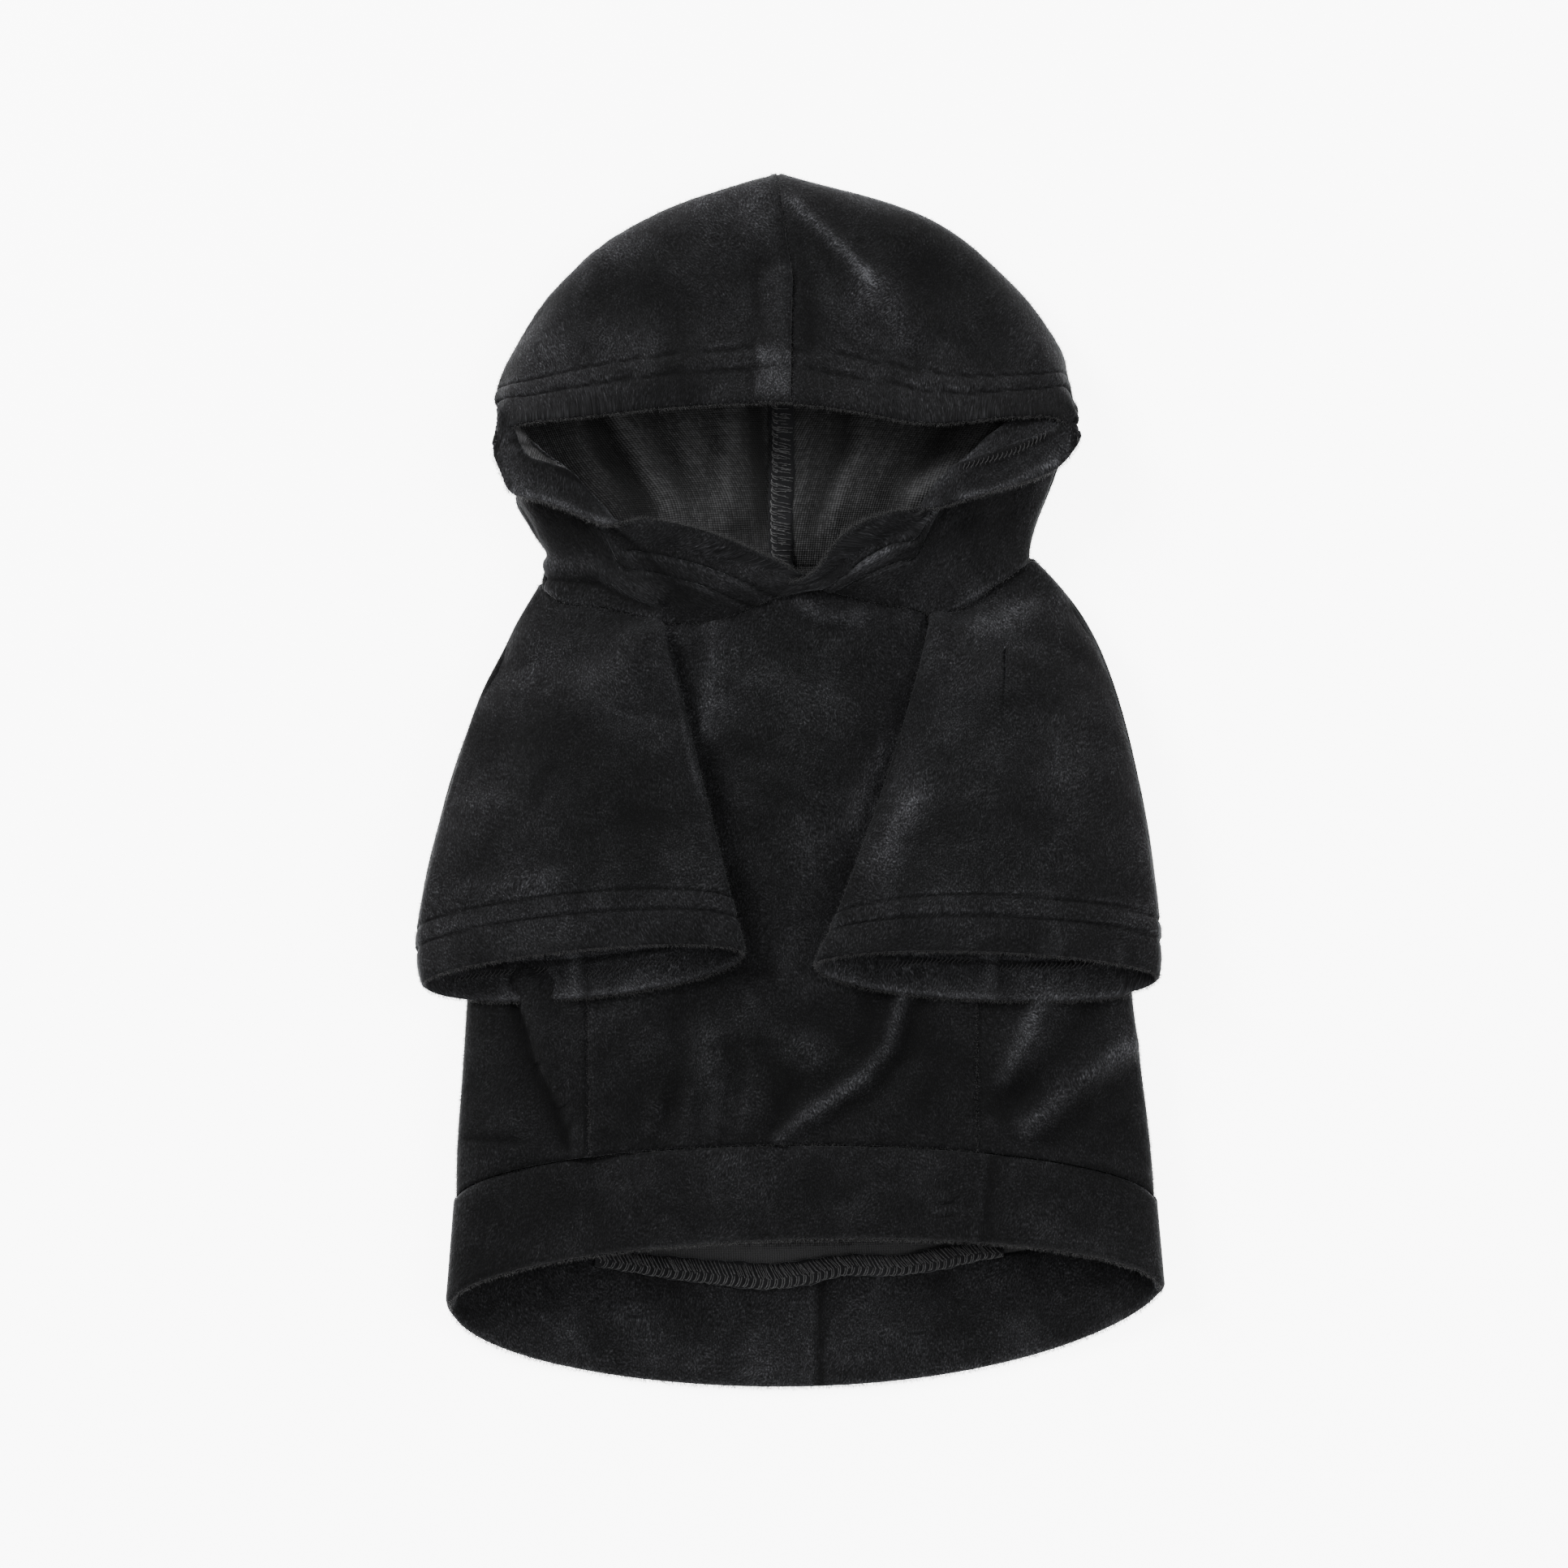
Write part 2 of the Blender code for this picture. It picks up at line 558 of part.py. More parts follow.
def make_overlocks(material):
    height = WALL + LAYER_GAP / 2 + OVERLOCK_THICKNESS / 2
    start = HOOD_BASE_Y + 0.10 * HOOD_LENGTH
    y = np.linspace(start, start + HOOD_OVERLOCK_LENGTH, 13)
    x = np.full_like(y, -0.051 * HOOD_HALF_WIDTH)
    make_strip(
        "hood_overlock",
        np.stack([x, y, np.full_like(y, height)], axis=-1),
        np.array([1.0, 0.0, 0.0]),
        material,
    )
    angle = np.linspace(-1.0, 1.0, 21) * math.asin(WAIST_OVERLOCK_SPAN / BAND_HALF_WIDTH)
    centres = body_point(1.0, 1.5 * math.pi + angle)
    centres[:, 2] += BAND_WALL - WALL / 2 + LAYER_GAP / 2 + OVERLOCK_THICKNESS / 2
    make_strip("waist_overlock", centres, np.array([0.0, 1.0, 0.0]), material)


def make_hoodie():
    black = velour("black_velour", (0.013, 0.013, 0.015))
    lining = velour("overlock_thread", (0.020, 0.020, 0.023))
    make_chest(black)
    make_back(black)
    make_band(black)
    for row in SLEEVE_TABLE:
        make_sleeve(*row, black)
    make_hood_half("hood_left", -1, HOOD_LEFT_TABLE, black)
    make_hood_half("hood_right", 1, HOOD_RIGHT_TABLE, black)
    make_overlocks(lining)


def stand_on_origin():
    """Moves every panel so that the origin is the middle of the garment's base."""
    bpy.context.view_layer.update()
    evaluated = bpy.context.evaluated_depsgraph_get()
    corners = np.array([
        corner[:]
        for part in bpy.data.objects
        for corner in part.evaluated_get(evaluated).bound_box
    ])
    low, high = corners.min(axis=0), corners.max(axis=0)
    for part in bpy.data.objects:
        part.location = (-(low[0] + high[0]) / 2, -(low[1] + high[1]) / 2, -low[2])


for old in list(bpy.data.objects):
    bpy.data.objects.remove(old)
make_hoodie()
stand_on_origin()
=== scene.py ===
"""A small dog's hooded top in black velour, lying belly up on a pale floor, seen from straight above.

Units are metres. Every panel is laid as a fine grid on the surface that its solid has, gets its folds,
hems and seams as small lifts of that surface, and then its wall. The garment's tube is described by a
station (0 at the neck seam, 1 at the waist seam) and an angle: 90 degrees is the chest's middle, 180 the
left side fold and 270 the back's middle.
"""

import math

import bpy
import numpy as np
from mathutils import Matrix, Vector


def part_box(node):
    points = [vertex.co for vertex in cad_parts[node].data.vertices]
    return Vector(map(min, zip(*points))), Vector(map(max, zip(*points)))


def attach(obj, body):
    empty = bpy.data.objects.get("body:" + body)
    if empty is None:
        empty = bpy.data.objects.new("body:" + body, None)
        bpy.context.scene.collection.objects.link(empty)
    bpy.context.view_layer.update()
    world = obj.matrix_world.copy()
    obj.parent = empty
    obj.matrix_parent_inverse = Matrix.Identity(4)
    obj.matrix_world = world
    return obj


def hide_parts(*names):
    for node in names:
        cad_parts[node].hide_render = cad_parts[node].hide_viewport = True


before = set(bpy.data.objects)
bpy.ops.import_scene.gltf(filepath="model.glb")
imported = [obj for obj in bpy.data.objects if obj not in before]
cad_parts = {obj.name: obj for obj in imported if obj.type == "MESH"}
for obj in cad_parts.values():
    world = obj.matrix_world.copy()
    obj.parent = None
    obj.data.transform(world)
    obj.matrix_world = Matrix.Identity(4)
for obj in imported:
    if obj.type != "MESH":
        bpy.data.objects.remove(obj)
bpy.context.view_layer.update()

# The solids' sizes
WALL = 0.0016
BAND_WALL = 0.0030
LAYER_GAP = 0.0006
WALL_LEVELS = 60
NECK_GAP = 0.0004
NECK_LAP = 0.0018
NECK_LAP_LIFT = 0.0006
RAGLAN_TOPS = (-0.0388, 0.0406)
RAGLAN_LAP = 0.0012
WAIST_LAP = 0.0012
BODY_HALF_WIDTH = 0.0993
BODY_HEIGHT = 0.0150
FLOOR_SQUASH = 1.12
NECK_SIDE_Y = 0.0610
NECK_DIP = 0.0130
NECK_BACK_RISE = 0.0040
WAIST_SIDE_Y = -0.1245
WAIST_FRONT_RISE = 0.0166
WAIST_BACK_DROP = 0.0213
ARMPIT_STATION = 0.37
NECK_CORNER_STATION = 0.16
BAND_HALF_WIDTH = 0.1052
BAND_LEAN = 0.0048
BAND_SIDE_Y = -0.1535
BAND_FRONT_RISE = 0.0178
BAND_BACK_DROP = 0.0268
BAND_BACK_ARC = 1.20
BAND_BACK_ARC_LEAN = 0.15
BAND_LIFT = 0.0020
SLEEVE_OUTER_X = 0.1090
SLEEVE_HEIGHT = 0.0105
SLEEVE_APEX_HEIGHT = 0.0028
SLEEVE_DROOP = 0.0085
SLEEVE_BULGE = 0.0094
SLEEVE_INSET = 0.0042
SLEEVE_BASE_LIFT = 0.0014
SEAM_GAP = 0.0002
CUFF_REACH = 0.1200
CUFF_RISE = 0.0060
CUFF_DROP = 0.0085
HOOD_HALF_WIDTH = 0.0864
HOOD_LENGTH = 0.1282
HOOD_BASE_Y = 0.0517
HOOD_HEIGHT = 0.0250
HOOD_FOLD = 0.0045
HOOD_NECK_TAKE_IN = 0.985
CHIN_LAP_LIFT = 0.0024
HOOD_OVERLOCK_START = 0.10
HOOD_OVERLOCK_X = -0.051

# Sewing: the twin-needle hems, the overlock and the knit
HEM_LINES = (0.0108, 0.0168)
HEM_END = HEM_LINES[1] + 0.001
HEM_STITCH = 0.0029
HEM_GROOVE = 0.0006
HEM_SWELL = 0.0004
HEM_LIP_RISE = 0.00018
HEM_GROOVE_DEPTH = 0.00050
OVERLOCK_STITCH = 0.00145
CHAIN_STITCH = 0.0021
COVER_HALF_WIDTH = 0.0010
THREAD = 0.00017
THREAD_SIDES = 5
BAR_SIDES = 16
WALE = 0.00072
COURSE = 0.00066
PILE_RADIUS = 0.00006
RIM_FIBRES = 22
OUTLINE_FIBRES = 4.5
# Painted shade on sides that stand upright and show edge-on from above
EDGE_SHADE = 1.0
PILE_LENGTHS = (0.0006, 0.0013)
RIM_LENGTHS = (0.0004, 0.0012)
PILE_SPREAD = 0.45
RIM_SPREAD = 0.55
SHORT_PILE = 0.55
# Painted light on the knit strip inside the waist, which lies in shade
KNIT_STRIP_PAINTED_LIGHT = 3.0
# How strongly the lighter and the darker patches show, which are partly leaning pile and partly painted
# highlight and shade
NAP_AND_HIGHLIGHT_GAIN = 0.85
NAP_AND_SHADE_GAIN = 1.25
PATCH_SWAY = 0.0035
PATCH_SWAY_LENGTH = 0.016

# The photograph's scale and the pixel that lies on the garment's origin
PIXEL = 0.00024
ORIGIN_PIXEL = (975.67, 958.42)
PHOTO_PIXELS = 1932

FLOOR_SIZE = 12
FLOOR_GLOW = 7.0
WORLD_LIGHT = 1.15

BODY_TABLE = (
    (0.00, 0.750, 0.714, 1.00),
    (0.06, 0.790, 0.810, 0.98),
    (0.19, 0.885, 0.905, 0.96),
    (0.33, 0.930, 0.955, 0.96),
    (0.50, 0.945, 0.980, 0.98),
    (0.68, 0.964, 1.005, 1.00),
    (0.80, 0.978, 1.033, 1.02),
    (0.93, 0.994, 1.062, 1.04),
    (1.00, 0.996, 1.072, 1.04),
)
NECK_TABLE = (
    (-1.00, 0.00),
    (-0.94, 0.35),
    (-0.75, 0.77),
    (-0.50, 0.97),
    (-0.38, 1.00),
    (-0.10, 0.40),
    (0.06, 0.22),
    (0.19, 0.40),
    (0.39, 0.60),
    (0.69, 0.58),
    (0.90, 0.30),
    (1.00, 0.00),
)
# How far the neck seam lies above the solids', across the garment, in millimetres
NECK_SHIFTS = (
    (-1.00, -3.4),
    (-0.95, -2.2),
    (-0.88, 0.0),
    (-0.55, 0.8),
    (-0.35, 0.0),
    (0.45, 0.0),
    (0.73, -1.0),
    (0.88, 3.4),
    (1.00, 4.1),
)
CHEST_TABLE = (
    (0.00, -0.375, 0.392),
    (0.13, -0.440, 0.440),
    (0.25, -0.515, 0.500),
    (0.37, -0.604, 0.550),
    (0.70, -0.610, 0.548),
    (1.00, -0.604, 0.548),
)
HOOD_LEFT_TABLE = (
    (-0.010, 0.0, 0.024, 0.048, 0.68, 0.68, 0.024, 0.058, 0.70),
    (0.080, 0.0, -0.207, 0.075, 0.76, 0.76, -0.199, 0.133, 0.86),
    (0.130, 0.0, -0.385, 0.080, 0.80, 0.80, -0.351, 0.175, 0.93),
    (0.190, 0.0, -0.551, 0.133, 0.82, 0.86, -0.518, 0.197, 0.97),
    (0.270, 0.0, -0.651, 0.227, 0.79, 1.00, -0.643, 0.182, 1.02),
    (0.345, 0.0, -0.765, 0.307, 0.77, 0.99, -0.796, 0.232, 0.98),
    (0.417, 0.0, -0.893, 0.369, 0.68, 0.93, -0.935, 0.258, 0.88),
    (0.500, 0.0, -0.946, 0.418, 0.48, 0.85, -1.010, 0.324, 0.79),
    (0.580, 0.0, -0.990, 0.459, 0.25, 0.81, -1.018, 0.365, 0.79),
    (0.660, 0.0, -1.008, 0.487, 0.10, 0.70, -0.957, 0.408, 0.84),
    (0.740, 0.0, -0.962, 0.571, 0.03, 0.62, -0.768, 0.425, 0.94),
    (0.820, 0.0, -0.798, 0.736, 0.03, 0.54, -0.546, 0.446, 0.98),
    (0.900, 0.0, -0.492, 0.893, 0.03, 0.48, -0.296, 0.459, 0.98),
    (1.000, 0.0, -0.051, 0.996, 0.03, 0.46, -0.054, 0.464, 0.96),
)
HOOD_RIGHT_TABLE = (
    (-0.032, 0.0, -0.082, 0.038, 0.68, 0.68, -0.079, 0.048, 0.71),
    (0.014, 0.7, 0.032, 0.052, 0.80, 0.80, 0.015, 0.070, 0.90),
    (0.061, 0.3, 0.193, 0.084, 0.82, 0.82, 0.138, 0.165, 0.96),
    (0.130, 0.0, 0.338, 0.144, 0.84, 0.84, 0.304, 0.212, 1.00),
    (0.194, 0.0, 0.474, 0.268, 0.83, 1.00, 0.474, 0.221, 1.02),
    (0.260, 0.0, 0.640, 0.366, 0.78, 1.00, 0.621, 0.249, 1.00),
    (0.338, 0.0, 0.770, 0.430, 0.66, 0.90, 0.796, 0.281, 0.94),
    (0.404, 0.0, 0.890, 0.444, 0.54, 0.85, 0.896, 0.309, 0.86),
    (0.500, 0.0, 0.960, 0.449, 0.36, 0.84, 0.960, 0.354, 0.80),
    (0.580, 0.0, 0.943, 0.477, 0.20, 0.80, 0.971, 0.384, 0.82),
    (0.660, 0.0, 0.935, 0.524, 0.08, 0.72, 0.893, 0.429, 0.88),
    (0.740, 0.0, 0.904, 0.599, 0.03, 0.64, 0.721, 0.429, 0.96),
    (0.820, 0.0, 0.746, 0.740, 0.03, 0.54, 0.454, 0.416, 1.00),
    (0.900, 0.0, 0.454, 0.893, 0.03, 0.48, 0.176, 0.442, 0.98),
    (1.000, 0.0, -0.051, 0.996, 0.03, 0.46, -0.054, 0.464, 0.96),
)
SLEEVE_TABLE = (
    ("sleeve_left", -1, -0.135, 0.937, 1.000, 1.013, 0.0, 1.12),
    ("sleeve_right", 1, 0.063, 0.965, 0.989, 0.997, 0.4, 0.80),
)
# How far the sleeves' outer fold bows out, left and right, in millimetres, by the share of the way down
OUTER_BOW_TABLE = (
    (0.00, 0.0, 0.0),
    (0.05, 1.8, 4.4),
    (0.10, 3.4, 7.6),
    (0.15, 4.6, 9.6),
    (0.25, 7.2, 11.5),
    (0.35, 8.2, 12.0),
    (0.50, 8.4, 11.3),
    (0.65, 8.2, 9.6),
    (0.75, 7.4, 7.7),
    (0.83, 6.4, 6.0),
    (0.93, 3.3, 2.8),
    (1.00, 0.0, 0.0),
)
# How far the upper layer takes up the outer bow, and how much less the lower layer does
OUTER_SPREAD = {-1: (1.0, 0.0), 1: (0.93, 0.45)}
ARMHOLE_CORNERS = (0.0, 0.50, 0.70, 0.80, 1.0)
RISE_AT_CHEST = 0.05
RISE_AT_SIDE = 0.30
FULL_HEIGHT_AT = 0.70
LEAST_STAND = 0.1
FULL_STAND_AT = 0.16
ARMHOLE_ROUNDS = 30
BOW_BLUNTNESS = 0.60
MOST_TURN_SHARE = 0.45
LEAST_TURN = 0.10

# Folds by panel. Columns: the line in photograph pixels, rise in millimetres, width to the left and to the
# right of the line's direction in millimetres, and the painted highlight, or painted shade where negative,
# along it.
BODY_FOLDS = (
    (((640, 1215), (673, 1310), (697, 1363), (712, 1412)), 3.0, 12.0, 0.9, 0.5),
    (((634, 1225), (664, 1312), (690, 1370), (706, 1410)), -0.8, 1.2, 3.2, -1.4),
    (((1112, 1225), (1095, 1290), (1060, 1330), (985, 1380), (960, 1402)), 2.2, 2.4, 1.7, 1.9),
    (((1080, 1230), (1062, 1290), (1020, 1330), (960, 1360)), -1.2, 5.0, 5.0, -0.8),
    (((1130, 1240), (1120, 1300), (1080, 1350), (1010, 1395)), -0.9, 4.0, 4.0, -0.7),
    (((1284, 1225), (1258, 1285), (1232, 1330)), 1.9, 3.2, 2.2, 1.7),
    (((1410, 1275), (1335, 1330), (1265, 1388)), 2.4, 4.0, 2.8, 1.9),
    (((1340, 1250), (1290, 1320), (1240, 1370)), -1.5, 4.5, 4.5, -0.9),
    (((1410, 1330), (1350, 1370), (1300, 1412)), -1.0, 5.0, 6.0, -0.5),
    (((873, 1280), (872, 1325)), 1.3, 5.0, 5.0, 0.9),
    (((840, 1250), (835, 1330), (826, 1372)), -1.2, 4.0, 4.0, -0.9),
    (((905, 1290), (912, 1345)), -0.9, 4.0, 4.0, -0.6),
    (((940, 1290), (975, 1345), (960, 1390)), -1.0, 3.5, 3.5, -0.8),
    (((930, 1240), (985, 1285), (1010, 1310)), 0.8, 4.0, 4.0, 0.5),
    (((780, 1255), (800, 1290)), 0.7, 4.0, 4.0, 0.4),
    (((803, 1395), (812, 1350)), 0.9, 2.2, 2.2, 0.5),
    (((843, 1405), (850, 1350)), 0.9, 2.0, 2.0, 0.5),
    (((879, 1402), (884, 1345)), 0.8, 2.0, 2.0, 0.6),
    (((915, 1400), (922, 1350)), 0.7, 2.0, 2.0, 0.4),
    (((880, 770), (882, 830), (868, 905)), 1.0, 4.0, 3.0, 0.8),
    (((1085, 930), (1062, 985), (1052, 1015)), 0.9, 3.0, 3.0, 0.9),
    (((900, 985), (950, 1000), (990, 1010)), 0.5, 3.0, 3.0, 0.3),
    (((985, 742), (1015, 762), (1062, 766)), 1.0, 2.4, 2.4, 0.9),
    (((975, 755), (1010, 775), (1050, 780)), -0.6, 2.4, 2.4, -0.5),
    (((570, 1412), (640, 1418), (700, 1425)), 0.8, 1.5, 3.5, 0.2),
    (((567, 1404), (640, 1408)), -0.8, 1.4, 1.4, -0.6),
    (((1240, 1422), (1320, 1432), (1418, 1452)), 0.9, 2.6, 2.6, 0.0),
    (((590, 1330), (650, 1345), (690, 1380)), -0.5, 5.0, 5.0, -0.4),
    (((600, 1260), (620, 1330)), 0.5, 6.0, 6.0, 0.2),
)
HOOD_TOP_FOLDS = (
    (((974, 246), (1010, 281), (1046, 316), (1072, 345)), 1.6, 1.4, 1.7, 2.3),
    (((1072, 345), (1098, 375), (1128, 408)), 1.0, 5.0, 5.0, 0.9),
    (((985, 300), (1003, 345), (1000, 430)), -1.1, 1.5, 4.0, -0.9),
    (((932, 330), (932, 415)), -0.7, 3.5, 1.2, -0.9),
    (((1010, 232), (1080, 300), (1150, 350)), -0.8, 7.0, 8.0, -0.5),
    (((1195, 330), (1240, 380), (1262, 430)), 0.7, 7.0, 7.0, 0.3),
    (((740, 300), (830, 262), (920, 240)), 0.8, 12.0, 12.0, 0.5),
    (((690, 390), (760, 370), (840, 380)), -0.6, 8.0, 8.0, -0.5),
    (((650, 430), (720, 430), (790, 410)), 0.6, 7.0, 7.0, 0.5),
    (((1090, 440), (1180, 430)), -0.4, 6.0, 6.0, -0.2),
)
HOOD_FLOOR_FOLDS = (
    (((728, 515), (748, 559), (773, 591), (797, 640)), -1.9, 3.4, 3.4, -1.5),
    (((756, 508), (785, 559), (810, 596), (840, 655)), 2.7, 3.2, 3.4, 0.7),
    (((797, 505), (812, 547), (834, 584), (852, 612)), -0.9, 2.6, 2.6, -0.5),
    (((842, 510), (854, 596), (870, 660)), 1.2, 4.0, 4.0, 0.3),
    (((900, 490), (896, 559), (893, 640)), 2.6, 3.6, 4.0, 0.5),
    (((930, 490), (936, 559), (940, 603), (941, 660)), -2.4, 1.6, 3.0, -2.3),
    (((922, 655), (936, 705)), -1.4, 1.6, 4.5, -2.0),
    (((700, 515), (712, 560), (745, 615)), 0.8, 4.0, 4.0, 0.1),
    (((988, 500), (984, 599), (984, 680)), 1.0, 2.5, 2.5, 0.3),
    (((1046, 495), (1038, 548), (1023, 586), (1006, 645)), -1.5, 2.4, 2.4, -1.0),
    (((1072, 500), (1056, 561), (1038, 599), (1018, 650)), 2.3, 2.8, 3.2, 0.7),
    (((1110, 505), (1090, 560), (1060, 615)), 0.9, 4.0, 4.0, 0.2),
    (((1172, 500), (1152, 556), (1132, 581), (1106, 615)), -1.0, 4.0, 3.6, -0.4),
    (((1240, 500), (1208, 542), (1178, 574), (1134, 608)), 8.0, 7.0, 5.0, 1.1),
)
HOOD_COLLAR_FOLDS = (
    (((660, 694), (740, 702), (812, 735)), 1.6, 3.2, 2.2, 1.0),
    (((660, 711), (740, 722), (800, 748)), -1.2, 1.8, 1.8, -1.2),
    (((648, 640), (700, 655), (760, 690), (820, 730)), -0.8, 6.0, 5.0, -0.8),
    (((645, 536), (699, 567), (748, 621)), 0.4, 2.2, 2.4, 1.7),
    (((632, 560), (690, 592), (742, 628)), -0.6, 3.0, 3.5, -0.9),
    (((634, 604), (674, 614), (752, 646)), 0.5, 0.9, 0.9, 1.2),
    (((760, 650), (813, 700), (850, 735)), -0.7, 1.0, 1.6, -1.3),
    (((790, 645), (850, 668), (925, 700)), 0.5, 4.0, 4.0, 0.4),
    (((1300, 572), (1264, 587), (1239, 602), (1185, 615)), 0.4, 0.8, 0.8, 1.5),
    (((1153, 622), (1122, 658), (1090, 682), (1049, 706)), 0.6, 0.8, 0.8, 0.8),
    (((1160, 632), (1130, 672), (1095, 695), (1055, 716)), -0.5, 1.8, 1.0, -0.9),
    (((1112, 622), (1060, 665), (1010, 700)), 0.3, 2.0, 2.0, 0.25),
    (((1210, 640), (1170, 700)), 0.5, 6.0, 6.0, 0.1),
    (((1060, 720), (1140, 690), (1230, 650)), -0.4, 6.0, 6.0, -0.3),
)
# The hood's turned-over hem round the mouth, whose inner side shows
HOOD_STRIP_FOLDS = (
    (((1237, 520), (1190, 562), (1150, 602)), 0.3, 1.4, 1.4, 0.6),
    (((1290, 525), (1315, 545), (1300, 570)), 0.2, 3.0, 3.0, 0.6),
    (((1300, 572), (1264, 587), (1239, 602), (1185, 615)), 0.4, 1.2, 1.2, 1.6),
    (((1250, 545), (1200, 580)), -0.3, 4.0, 4.0, -0.4),
    (((1153, 622), (1122, 658), (1090, 682), (1049, 706)), 0.5, 1.6, 1.6, 0.8),
    (((1160, 595), (1110, 640), (1060, 672), (1010, 700)), 0.4, 2.5, 2.5, 0.5),
    (((661, 533), (700, 568), (728, 601), (752, 627)), 0.3, 2.2, 2.2, 0.4),
    (((630, 545), (662, 552), (690, 580), (718, 598), (752, 630)), -0.5, 0.9, 0.9, -1.6),
    (((620, 548), (626, 575), (640, 600)), 0.3, 2.0, 2.0, 0.4),
    (((640, 565), (680, 592), (730, 625)), -0.3, 2.4, 2.4, -0.8),
    (((637, 606), (674, 616), (752, 648)), 0.4, 1.0, 1.0, 1.3),
    (((770, 640), (830, 664), (925, 700)), 0.4, 2.0, 2.0, 0.5),
)
SLEEVE_FOLDS = (
    (((1205, 772), (1250, 756), (1300, 742)), 0.9, 3.0, 4.0, 0.9),
    (((1285, 1050), (1292, 1110), (1300, 1172)), 0.9, 1.2, 2.6, 0.5),
    (((1140, 965), (1118, 1010), (1090, 1050)), 0.7, 5.0, 5.0, 1.0),
    (((1168, 800), (1172, 900)), 0.5, 8.0, 8.0, 0.5),
    (((1230, 900), (1270, 980), (1300, 1060)), -0.5, 8.0, 8.0, -0.3),
    (((575, 1095), (640, 1090), (700, 1078)), 0.7, 3.0, 4.0, 0.7),
    (((600, 905), (660, 915), (700, 905)), -0.5, 5.0, 5.0, -0.7),
    (((660, 800), (700, 825), (770, 840)), 0.5, 7.0, 7.0, 0.5),
    (((730, 1010), (800, 1000)), -0.5, 7.0, 7.0, -0.6),
    (((850, 880), (866, 960), (880, 1040)), 0.4, 2.0, 2.0, 0.5),
    (((700, 1110), (704, 1180)), 0.5, 1.4, 1.4, 0.3),
    (((830, 795), (846, 875)), -0.4, 3.0, 3.0, -0.4),
)
# Painted light along seams and over the shade beside them. Columns: as for the folds, but without a rise
PAINTED_SEAM_LIGHTS = (
    (((816, 768), (828, 830), (842, 900), (858, 975)), 2.2, 0.6, 1.0),
    (((848, 885), (868, 985), (890, 1075)), 0.5, 0.9, 0.5),
    (((671, 723), (696, 741), (754, 749), (812, 762)), 0.9, 0.9, 0.9),
    (((1150, 757), (1169, 752), (1221, 720), (1268, 691)), 0.9, 0.9, 0.8),
)
# Patches of lighter or darker cloth, partly where the pile leans another way and partly painted highlight
# and
# shade: the middle in photograph pixels, the radius in millimetres, and how much lighter the patch is
NAP_AND_SHADE_PATCHES = (
    (675, 430, 11, 0.35), (818, 354, 17, -0.5), (790, 268, 18, 0.35), (900, 290, 12, 0.2),
    (1165, 305, 20, -0.6), (1120, 405, 8, 0.7), (1213, 415, 11, -0.35), (1283, 425, 10, 0.3),
    (752, 461, 5, -0.7), (828, 480, 6, -0.8), (921, 470, 4, -0.7), (1050, 480, 8, -0.3),
    (1190, 480, 7, 0.2), (700, 500, 8, 0.6), (1270, 490, 8, 0.3), (870, 400, 8, -0.3),
    (740, 835, 18, 0.35), (671, 960, 15, -0.5), (842, 850, 7, 0.35), (800, 1000, 13, -0.5),
    (640, 1060, 12, 0.2), (860, 1090, 9, 0.2), (590, 1110, 8, 0.3), (720, 900, 9, -0.2),
    (1250, 756, 9, 0.6), (1105, 985, 9, 0.6), (1330, 800, 14, -0.3), (1355, 965, 15, 0.3),
    (1230, 1000, 12, -0.25), (1180, 880, 12, 0.2), (1290, 1090, 10, 0.3), (1160, 1100, 10, 0.25),
    (885, 860, 8, 0.6), (1082, 994, 7, 0.6), (960, 960, 14, -0.3), (1000, 850, 11, 0.15),
    (980, 1120, 10, -0.3), (930, 1060, 9, 0.2), (1020, 780, 8, 0.2), (930, 790, 7, -0.3),
    (655, 1300, 17, -0.6), (808, 1345, 11, -0.5), (910, 1325, 9, 0.4), (1000, 1372, 6, 0.6),
    (1141, 1336, 12, -0.9), (770, 1270, 9, 0.3), (980, 1250, 9, -0.4), (1340, 1275, 12, 0.2),
    (1362, 1392, 12, -0.8), (1240, 1370, 7, -0.4), (750, 1390, 8, -0.5), (1060, 1260, 7, -0.4),
    (637, 1499, 14, -0.5), (850, 1465, 12, 0.3), (1184, 1465, 9, -0.5), (1010, 1450, 12, -0.2),
    (1360, 1510, 14, 0.15), (760, 1480, 9, -0.2), (720, 1640, 10, 0.3), (880, 1640, 9, -0.4),
    (960, 1660, 8, 0.35), (1060, 1640, 9, 0.3), (1150, 1630, 10, -0.4), (1240, 1620, 9, 0.2),
    (690, 690, 10, -0.4), (830, 690, 9, 0.2), (1200, 660, 14, -0.4), (1090, 700, 8, 0.2),
)
# Seams that show as single lines, in photograph pixels
CUFF_SEAMS = {-1: ((703, 1165), (708, 1240)), 1: ((1216, 1165), (1221, 1242))}
BAND_JOINT = ((1227, 1412), (1211, 1536))
BAND_BACK_SEAM = ((1014, 1575), (1011, 1712))
